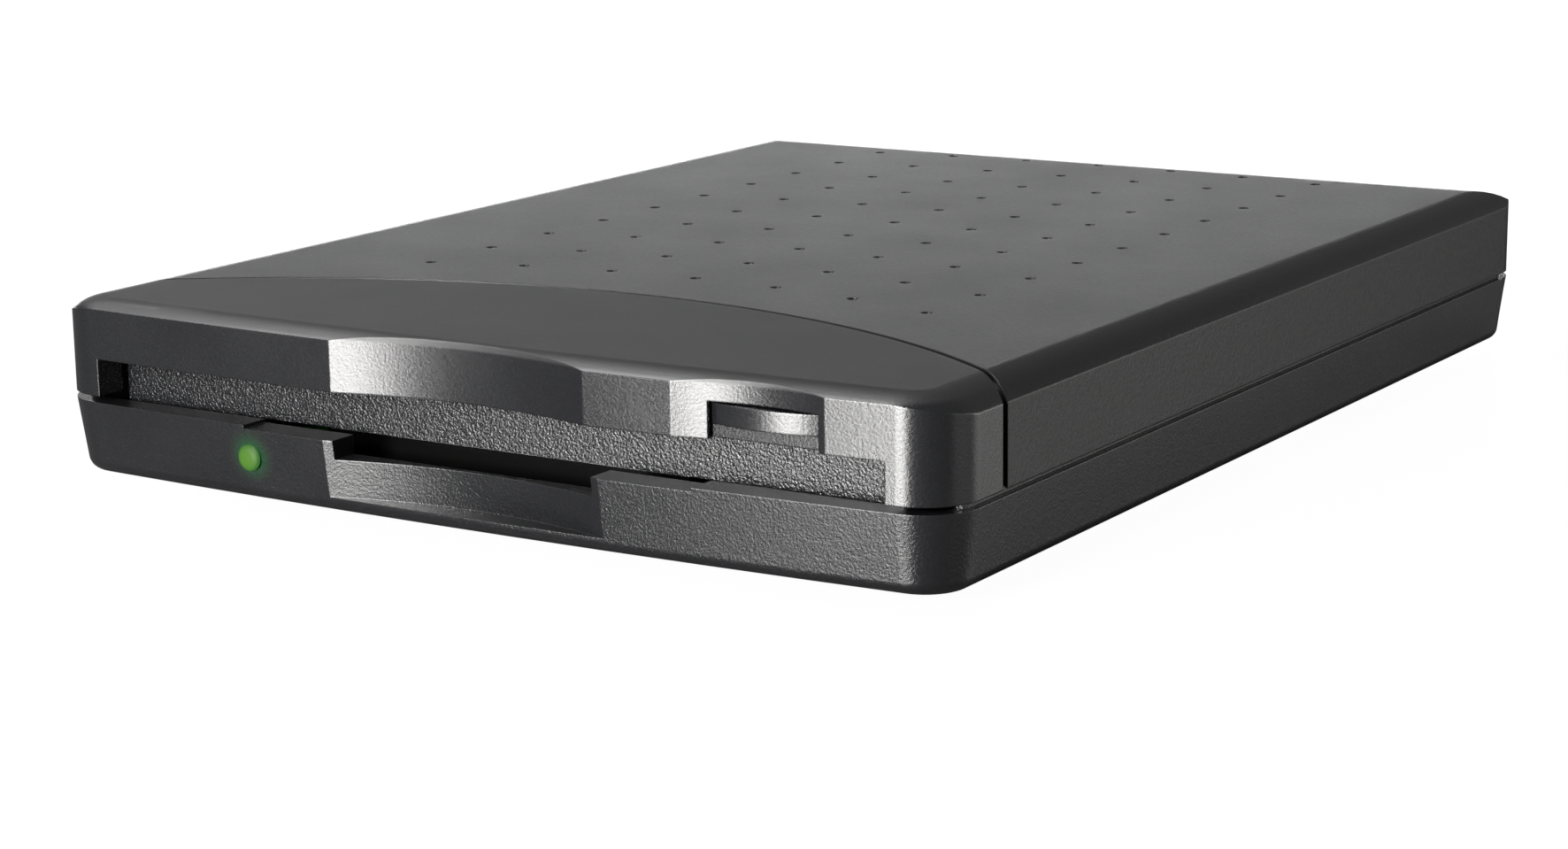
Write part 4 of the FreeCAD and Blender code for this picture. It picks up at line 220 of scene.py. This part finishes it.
# moulded plastics: colour and its lighter mottling, size and depth of the grain, softened edges, gloss
mouldings = {
    "cover_plastic": {
        "colour": (0.010, 0.010, 0.0103), "mottle": (0.018, 0.018, 0.0185),
        "grain": 0.36 * mm, "depth": 0.030 * mm, "edge": 0.20 * mm,
        "roughness": 0.32, "vary": 0.10,
    },
    "bezel_plastic": {
        "colour": (0.0040, 0.0042, 0.0053), "mottle": (0.0072, 0.0076, 0.0094),
        "grain": 0.27 * mm, "depth": 0.020 * mm, "edge": 0.20 * mm,
        "roughness": 0.27, "vary": 0.08, "ior": 1.8,
        "wallTop": 17.80 * mm, "blend": 0.25 * mm, "matte": 0.20,
    },
    "case_plastic": {
        "colour": (0.0040, 0.0042, 0.0052), "mottle": (0.0072, 0.0076, 0.0092),
        "grain": 0.27 * mm, "depth": 0.042 * mm, "edge": 0.13 * mm,
        "roughness": 0.31, "vary": 0.10, "ior": 1.8,
    },
    "door_plastic": {
        "colour": (0.0036, 0.0038, 0.0045), "mottle": (0.0105, 0.0110, 0.0125),
        "grain": 0.27 * mm, "depth": 0.100 * mm, "edge": 0.08 * mm,
        "roughness": 0.26, "vary": 0.14, "ior": 1.62,
    },
    "foot_rubber": {
        "colour": (0.010, 0.010, 0.011), "mottle": (0.020, 0.020, 0.021),
        "grain": 0.25 * mm, "depth": 0.018 * mm, "edge": 0.15 * mm,
        "roughness": 0.72, "vary": 0.12,
    },
    "black_resin": {
        "colour": (0.012, 0.012, 0.013), "mottle": (0.024, 0.024, 0.025),
        "grain": 0.12 * mm, "depth": 0.006 * mm, "edge": 0.05 * mm,
        "roughness": 0.55, "vary": 0.10,
    },
    "carriage_plastic": {
        "colour": (0.050, 0.050, 0.052), "mottle": (0.070, 0.070, 0.072),
        "grain": 0.20 * mm, "depth": 0.008 * mm, "edge": 0.06 * mm,
        "roughness": 0.50, "vary": 0.10,
    },
    "white_plastic": {
        "colour": (0.40, 0.39, 0.36), "mottle": (0.47, 0.46, 0.43),
        "grain": 0.25 * mm, "depth": 0.006 * mm, "edge": 0.06 * mm,
        "roughness": 0.45, "vary": 0.08,
    },
    "head_ceramic": {
        "colour": (0.26, 0.245, 0.22), "mottle": (0.31, 0.29, 0.265),
        "grain": 0.20 * mm, "depth": 0.002 * mm, "edge": 0.05 * mm,
        "roughness": 0.18, "vary": 0.05,
    },
    "bonded_magnet": {
        "colour": (0.035, 0.034, 0.033), "mottle": (0.060, 0.058, 0.056),
        "grain": 0.18 * mm, "depth": 0.010 * mm, "edge": 0.06 * mm,
        "roughness": 0.60, "vary": 0.10,
    },
    "led_resin": {
        "colour": (0.004, 0.018, 0.004), "mottle": (0.006, 0.026, 0.006),
        "grain": 0.20 * mm, "depth": 0.003 * mm, "edge": 0.05 * mm,
        "roughness": 0.15, "vary": 0.05,
    },
}
mottling = {
    "plainIor": 1.5,
    "broadSize": 40,  # in grains, like the specks' size
    "broadShare": 0.5,
    "speckSize": 0.6,
    "speckEdge": 0.56,
    "speckGain": 6.0,
    "speckShare": 0.6,
}


def moulding(name, look, lamp=None):
    graph = Graph(name)
    grain = graph.noise(look["grain"], detail=2.0, rough=0.6)
    broad = graph.noise(look["grain"] * mottling["broadSize"])
    fine = graph.noise(look["grain"] * mottling["speckSize"], detail=1.0)
    speck = ((fine - mottling["speckEdge"]) * mottling["speckGain"]).clip()
    mix = (broad * mottling["broadShare"] + speck * mottling["speckShare"]).clip()
    roughness = look["roughness"] + (grain - 0.5) * look["vary"] + (broad - 0.5) * look["vary"]
    if "matte" in look:  # the top is finished more matte than the upright walls
        onTop = ((graph.along("Z") - look["wallTop"]) / look["blend"]).clip()
        roughness = roughness + onTop * look["matte"]
    graph.set(Base_Color=graph.blend(mix, look["colour"], look["mottle"]), Roughness=roughness,
              IOR=look.get("ior", mottling["plainIor"]))
    graph.bump(grain, look["depth"], look["edge"])
    if lamp:  # the indicator's light spills on the plastic round it
        spill = (1 - (fromMiddle(graph, lamp) - lightLook["radius"]) / lightLook["reach"]).clip() ** 2.0
        graph.set(Emission_Color=graph.blend(spill, (0.0, 0.0, 0.0), lightLook["halo"]),
                  Emission_Strength=lightLook["strength"])
    return graph.material


# metals: colour and its darker stain, brushing or rolling marks along one axis, softened edges, gloss
metals = {
    "pressed_steel": {
        "colour": (0.42, 0.43, 0.44), "stain": (0.30, 0.31, 0.31),
        "stretch": (1, 14, 1), "mark": 0.9 * mm, "depth": 0.003 * mm, "edge": 0.06 * mm,
        "roughness": 0.42, "vary": 0.16,
    },
    "zinc_screws": {
        "colour": (0.58, 0.58, 0.56), "stain": (0.42, 0.42, 0.38),
        "stretch": (1, 1, 1), "mark": 0.5 * mm, "depth": 0.003 * mm, "edge": 0.05 * mm,
        "roughness": 0.32, "vary": 0.16,
    },
    "ground_steel": {
        "colour": (0.68, 0.68, 0.69), "stain": (0.60, 0.60, 0.61),
        "stretch": (6, 1, 6), "mark": 0.8 * mm, "depth": 0.001 * mm, "edge": 0.04 * mm,
        "roughness": 0.16, "vary": 0.08,
    },
    "spring_steel": {
        "colour": (0.45, 0.45, 0.46), "stain": (0.34, 0.33, 0.33),
        "stretch": (1, 1, 1), "mark": 0.4 * mm, "depth": 0.001 * mm, "edge": 0.0,
        "roughness": 0.28, "vary": 0.10,
    },
    "sintered_bronze": {
        "colour": (0.50, 0.33, 0.17), "stain": (0.32, 0.20, 0.10),
        "stretch": (1, 1, 1), "mark": 0.25 * mm, "depth": 0.010 * mm, "edge": 0.05 * mm,
        "roughness": 0.46, "vary": 0.14,
    },
    "stator_steel": {
        "colour": (0.36, 0.36, 0.38), "stain": (0.22, 0.22, 0.24),
        "stretch": (1, 1, 9), "mark": 0.5 * mm, "depth": 0.010 * mm, "edge": 0.03 * mm,
        "roughness": 0.45, "vary": 0.12,
    },
    "copper_wire": {
        "colour": (0.72, 0.27, 0.10), "stain": (0.44, 0.13, 0.05),
        "stretch": (1, 1, 7), "mark": 0.35 * mm, "depth": 0.020 * mm, "edge": 0.05 * mm,
        "roughness": 0.30, "vary": 0.12,
    },
    "motor_can": {
        "colour": (0.55, 0.55, 0.56), "stain": (0.45, 0.45, 0.46),
        "stretch": (8, 1, 1), "mark": 0.7 * mm, "depth": 0.002 * mm, "edge": 0.06 * mm,
        "roughness": 0.26, "vary": 0.12,
    },
    "socket_metal": {
        "colour": (0.70, 0.70, 0.70), "stain": (0.60, 0.60, 0.58),
        "stretch": (1, 5, 1), "mark": 0.6 * mm, "depth": 0.001 * mm, "edge": 0.05 * mm,
        "roughness": 0.22, "vary": 0.08,
    },
}
staining = {"size": 12, "edge": 0.42, "gain": 3.0, "rough": 0.4}  # size in marks
# painted shade: the flange's front face ahead of "front" and below "top" gets this near-black, glossy
# non-metal finish in place of its shadow
flangeShade = {"front": -61.9 * mm, "top": 7.25 * mm, "colour": (0.001, 0.001, 0.001), "roughness": 0.22}


def metal(name, look):
    graph = Graph(name)
    marks = graph.noise(look["mark"], detail=4.0, rough=0.6, stretch=look["stretch"])
    cloud = graph.noise(look["mark"] * staining["size"])
    stain = ((cloud - staining["edge"]) * staining["gain"]).clip()
    colour = graph.blend(stain, look["colour"], look["stain"])
    roughness = look["roughness"] + (marks - 0.5) * look["vary"] + stain * look["vary"] * staining["rough"]
    unshaded = 1.0
    if name == "pressed_steel":  # painted shade: the frame's front flange is coloured near black and made non-metal up to just below its top edge, to stand for the shadow it sits in
        behind = graph.along("Y").above(flangeShade["front"])
        unshaded = behind.join("MAXIMUM", graph.along("Z").above(flangeShade["top"]))
        colour = graph.blend(unshaded, flangeShade["colour"], colour)
        roughness = roughness * unshaded + (1 - unshaded) * flangeShade["roughness"]
    graph.set(Base_Color=colour, Metallic=unshaded, Roughness=roughness)
    graph.bump(marks, look["depth"], look["edge"])
    return graph.material


def fromMiddle(graph, middle):
    ends = {0: graph.place, 1: middle}
    return graph.add("ShaderNodeVectorMath", {"operation": "DISTANCE"}, ends, "Value")


lightLook = {
    "core": (0.115, 0.280, 0.034),
    "rim": (0.045, 0.150, 0.030),
    "body": (0.001, 0.005, 0.001),
    "strength": 1.0,
    "ior": 1.25,
    "radius": 1.3 * mm,
    "fall": 4.0,  # how late towards the rim its colour deepens
    "lit": 0.5 * mm,  # depth of the lit front
    "halo": (0.0, 0.075, 0.012),
    "reach": 2.0 * mm,
    "roughness": 0.42,
    "vary": 0.08,
    "grain": 0.3 * mm,
    "ripple": 0.5 * mm,
    "depth": 0.004 * mm,
}


def lightGuide(name, look, middle):
    graph = Graph(name)  # bright in the middle of its dome, deeper green towards the rim, unlit behind it
    rim = ((fromMiddle(graph, middle) / look["radius"]) ** look["fall"]).clip()
    front = 1 - graph.along("Y").above(middle[1] + look["lit"])
    colour = graph.blend(front, (0.0, 0.0, 0.0), graph.blend(rim, look["core"], look["rim"]))
    graph.set(Base_Color=look["body"], Emission_Color=colour, Emission_Strength=look["strength"],
              Roughness=look["roughness"] + graph.noise(look["grain"]) * look["vary"], IOR=look["ior"])
    graph.bump(graph.noise(look["ripple"]), look["depth"])
    return graph.material


cableLook = {
    "film": (0.66, 0.66, 0.62),
    "conductor": (0.42, 0.42, 0.40),
    "pitch": 1.0 * mm,
    "rise": 0.06 * mm,
    "roughness": 0.30,
    "grain": 0.6 * mm,
    "wear": 0.2,
    "vary": 0.12,
}


def flatCable(name, look):
    graph = Graph(name)  # pale film over a row of tinned conductors that run front to back
    row = (graph.along("X") * (2 * math.pi / look["pitch"])).join("SINE", 0.0) * 0.5 + 0.5
    wear = graph.noise(look["grain"])
    mix = (row ** 2.0) * (1 - look["wear"]) + wear * look["wear"]
    graph.set(Base_Color=graph.blend(mix, look["film"], look["conductor"]),
              Roughness=look["roughness"] + wear * look["vary"])
    graph.bump(row, look["rise"])
    return graph.material


boardLook = {
    "lacquer": (0.002, 0.020, 0.008),
    "copper": (0.005, 0.034, 0.014),
    "cell": 2.7 * mm,
    "step": 0.23,  # the cells' values wrap round at each step, and copper shows where they pass the edge
    "edge": 0.11,
    "gain": 30,
    "grain": 0.25 * mm,
    "fleck": 0.2,
    "roughness": 0.30,
    "vary": 0.1,
    "rise": 0.02 * mm,
}


def circuitBoard(name, look):
    graph = Graph(name)  # lacquer over copper tracks that run in steps
    tracks = ((graph.cells(look["cell"]).join("MODULO", look["step"]) - look["edge"]) * look["gain"]).clip()
    flecks = graph.noise(look["grain"], detail=2.0)
    mix = tracks * (1 - look["fleck"]) + flecks * look["fleck"]
    graph.set(Base_Color=graph.blend(mix, look["lacquer"], look["copper"]),
              Roughness=look["roughness"] + (flecks - 0.5) * look["vary"])
    graph.bump(tracks + flecks * look["fleck"], look["rise"])
    return graph.material


def makeFinishes():
    low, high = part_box("led_lens")
    lamp = ((low.x + high.x) / 2, low.y, (low.z + high.z) / 2)
    made = {}
    for name, look in mouldings.items():
        made[name] = moulding(name, look, lamp if name == "case_plastic" else None)
    for name, look in metals.items():
        made[name] = metal(name, look)
    made["led_green"] = lightGuide("led_green", lightLook, lamp)
    made["board_green"] = circuitBoard("board_green", boardLook)
    made["ribbon_film"] = flatCable("ribbon_film", cableLook)
    return made


def dress(piece, slot):
    piece.data.materials.clear()
    piece.data.materials.append(finishes[slot])


def makeFloor(look):
    half = look["half"]
    mesh = bpy.data.meshes.new("floor")
    spots = [(-half, -half, 0), (half, -half, 0), (half, half, 0), (-half, half, 0)]
    mesh.from_pydata(spots, [], [(0, 1, 2, 3)])
    floor = bpy.data.objects.new("floor", mesh)
    scene.collection.objects.link(floor)
    graph = Graph("floorPaint")
    darker = tuple(part * look["darker"] for part in look["colour"])
    graph.set(Base_Color=graph.blend(graph.noise(look["patch"], detail=2.0), look["colour"], darker),
              Roughness=look["roughness"], IOR=look["ior"])
    white = graph.add("ShaderNodeEmission", {}, {"Color": (1.0, 1.0, 1.0), "Strength": look["white"]})
    rays = graph.add("ShaderNodeLightPath", {}, {}, "Is Camera Ray")
    away = graph.add("ShaderNodeVectorMath", {"operation": "LENGTH"}, {0: graph.place}, "Value")
    far = ((away - look["near"]) / look["fade"]).clip()
    fade = (far * look["shadow"] + (1 - look["shadow"])) * rays
    painted = Wire(graph, graph.shader.outputs[0])
    above = graph.add("ShaderNodeMixShader", {}, {0: fade, 1: painted, 2: white})
    under = graph.add("ShaderNodeNewGeometry", {}, {}, "Backfacing")
    clear = graph.add("ShaderNodeBsdfTransparent", {}, {})  # seen through from underneath
    mixed = graph.add("ShaderNodeMixShader", {}, {0: under, 1: above, 2: clear})
    graph.feed(graph.nodes["Material Output"].inputs["Surface"], mixed)
    mesh.materials.append(graph.material)


def makeSurround(look):
    world = bpy.data.worlds.new("surround")
    scene.world = world
    world.use_nodes = True
    nodes, links = world.node_tree.nodes, world.node_tree.links
    base = nodes["Background"]
    base.inputs["Color"].default_value = (*look["light"], 1.0)
    base.inputs["Strength"].default_value = look["strength"]
    seen = nodes.new("ShaderNodeBackground")
    seen.inputs["Color"].default_value = (*look["seen"], 1.0)
    rays = nodes.new("ShaderNodeLightPath")
    mix = nodes.new("ShaderNodeMixShader")
    links.new(rays.outputs["Is Camera Ray"], mix.inputs[0])
    links.new(base.outputs[0], mix.inputs[1])
    links.new(seen.outputs[0], mix.inputs[2])
    links.new(mix.outputs[0], nodes["World Output"].inputs["Surface"])


makeCamera(camera)
makeLamps(lamps)
makeSurround(surround)
makeFloor(floorLook)
finishes = makeFinishes()
print("stage: camera, lamps, floor and", len(finishes), "finishes")


weld = 0.001 * mm  # points of neighbouring patches closer than this become one


def gridMesh(name, points):
    rows, columns = points.shape[:2]
    mesh = bpy.data.meshes.new(name)
    first = np.arange(rows - 1)[:, None] * columns + np.arange(columns - 1)
    faces = np.stack([first, first + 1, first + columns + 1, first + columns], axis=-1).reshape(-1, 4)
    mesh.from_pydata(points.reshape(-1, 3).tolist(), [], faces.tolist())
    mesh.update()
    return mesh


def joined(name, patches, node, bend=None):  # patches: arrays of rows x columns x 3 points
    shape = bmesh.new()
    for patch in patches:
        part = gridMesh(name + "Patch", patch)
        shape.from_mesh(part)
        bpy.data.meshes.remove(part)
    bmesh.ops.remove_doubles(shape, verts=shape.verts, dist=weld)
    bmesh.ops.recalc_face_normals(shape, faces=shape.faces)
    mesh = bpy.data.meshes.new(name)
    shape.to_mesh(mesh)
    shape.free()
    mesh.shade_smooth()
    piece = bpy.data.objects.new(name, mesh)
    scene.collection.objects.link(piece)
    dress(piece, nodeSlot[node])
    if bend:  # given as two bodies joined by a joint and where the bending starts and ends, but read only as a flag: the piece is then fixed where it stands and attached to no body
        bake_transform(piece)
    else:
        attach(piece, nodeBody[node])
    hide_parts(node)


def corners(node):
    mesh = frame["nodes"][node].data
    spots = np.empty(len(mesh.vertices) * 3, np.float32)
    mesh.vertices.foreach_get("co", spots)
    return spots.reshape(-1, 3).astype(float)


footLook = {
    "rim": 0.45 * mm,
    "dish": 0.12 * mm,
    "dishEdge": 0.78,
    "dishPower": 8,
    "around": 72,
    "along": 48,
    "rollSteps": 12,
}


def footPads(look):
    # a turned pad: underside hollowed like a shallow dish, rim rolled over by a quarter circle
    spots = corners("rubber_feet")
    low, high = spots[:, 2].min(), spots[:, 2].max()
    turn = np.linspace(0, 2 * np.pi, look["around"] + 1)[None, :]
    pads = []
    for signX in (-1, 1):
        for signY in (-1, 1):
            here = spots[(np.sign(spots[:, 0]) == signX) & (np.sign(spots[:, 1]) == signY)]
            middle = (here.min(0) + here.max(0)) / 2
            radius = (here[:, 0].max() - here[:, 0].min()) / 2
            inner = radius - look["rim"]
            out = np.linspace(0, 1, look["along"])
            dish = look["dish"] * np.clip(1 - (out / look["dishEdge"]) ** look["dishPower"], 0, 1)
            roll = np.linspace(0, np.pi / 2, look["rollSteps"])
            reach = np.concatenate([out * inner, inner + look["rim"] * np.sin(roll), [radius, 0.0]])
            height = np.concatenate([low + dish, low + look["rim"] * (1 - np.cos(roll)), [high, high]])
            reach, height = reach[:, None], height[:, None]
            pads.append(np.stack([middle[0] + reach * np.cos(turn), middle[1] + reach * np.sin(turn),
                                  height + 0 * turn], axis=-1))
    joined("foot_pads", pads, "rubber_feet")


coilLook = {
    "poles": 12,
    "turns": 9,
    "wire": 0.10 * mm,  # half its thickness
    "square": 0.45,
    "sink": 0.30,  # share by which both ends are drawn in, over this part of a turn
    "endTurn": 0.25,
    "around": 56,
    "perTurn": 8,
}


def coilWindings(look):
    # each coil: a rounded-square ring swept outwards along its pole, swelling with the half-sine of every
    # turn of wire, and drawn in at both ends; all poles are turned copies of the first
    spots = corners("stator_coils")
    middle = (spots.min(0) + spots.max(0)) / 2
    away = spots - middle
    first = away[np.abs(np.arctan2(away[:, 1], away[:, 0])) < np.pi / look["poles"]]
    start, end = first[:, 0].min(), first[:, 0].max()
    half = first[:, 1].max(), (first[:, 2].max() - first[:, 2].min()) / 2
    along = np.linspace(0, 1, look["turns"] * look["perTurn"] + 1)
    swell = look["wire"] * (np.abs(np.sin(along * np.pi * look["turns"])) - 1)
    drawn = np.minimum(1, np.minimum(along, 1 - along) * look["turns"] / look["endTurn"]) ** 0.5
    scale = (1 - look["sink"] * (1 - drawn))[:, None]
    ring = np.linspace(0, 2 * np.pi, look["around"] + 1)[None, :]
    wave = [np.sign(part) * np.abs(part) ** look["square"] for part in (np.cos(ring), np.sin(ring))]
    side = wave[0] * (half[0] * scale + swell[:, None])
    rise = wave[1] * (half[1] * scale + swell[:, None])
    reach = (start + along * (end - start))[:, None] + 0 * ring
    wall = np.stack([reach, side, rise], axis=-1)
    caps = [wall[[row, row]] * [[[1.0, 1.0, 1.0]], [[1.0, 0.0, 0.0]]] for row in (0, -1)]
    patches = []
    for angle in np.arange(look["poles"]) * 2 * np.pi / look["poles"]:
        for patch in [wall] + caps:
            x, y, z = patch[..., 0], patch[..., 1], patch[..., 2]
            patches.append(middle + np.stack([x * np.cos(angle) - y * np.sin(angle),
                                              x * np.sin(angle) + y * np.cos(angle), z], axis=-1))
    joined("coil_windings", patches, "stator_coils")


springLook = {
    "turns": 22,
    "wire": 0.15 * mm,  # half its thickness
    "grip": 0.75,
    "around": 10,
    "perTurn": 24,
}


def returnSprings(look):
    # a round wire along a helix whose radius draws in over the last turn at each end,
    # r = coil (1 - (1 - grip) e), with e rising from 0 to 1 over that turn; the wire's rim is a circle of
    # the helix's outward direction and the length of the spring
    low, high = (np.array(corner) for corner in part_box("slide_springs"))
    height, start, end = (low[2] + high[2]) / 2, low[1] + look["wire"], high[1] - look["wire"]
    coil = (high[2] - low[2]) / 2 - look["wire"]
    along = np.linspace(0, 1, look["turns"] * look["perTurn"] + 1)[:, None]
    rim = np.linspace(0, 2 * np.pi, look["around"] + 1)[None, :]
    nearEnd = (1 - np.minimum(along, 1 - along) * look["turns"]).clip(0, 1)
    wire = look["wire"] * np.where((along == 0) | (along == 1), 0.0, 1.0)
    out = coil * (1 - (1 - look["grip"]) * nearEnd) + wire * np.cos(rim)
    turn = 2 * np.pi * look["turns"] * along
    reach = start + (end - start) * along + wire * np.sin(rim)
    across, rise = out * np.cos(turn), height + out * np.sin(turn)
    middle = high[0] - coil - look["wire"]
    patches = [np.stack([side * middle + across, reach, rise], axis=-1) for side in (-1, 1)]
    bend = "case", "eject_slide", (0, start, 0), (0, end, 0)
    joined("return_springs", patches, "slide_springs", bend)


for node, item in frame["nodes"].items():
    dress(item, nodeSlot[node])
print("stage: nodes dressed")
footPads(footLook)
coilWindings(coilLook)
returnSprings(springLook)
print("stage: new pieces")
scene.view_settings.view_transform = "Standard"
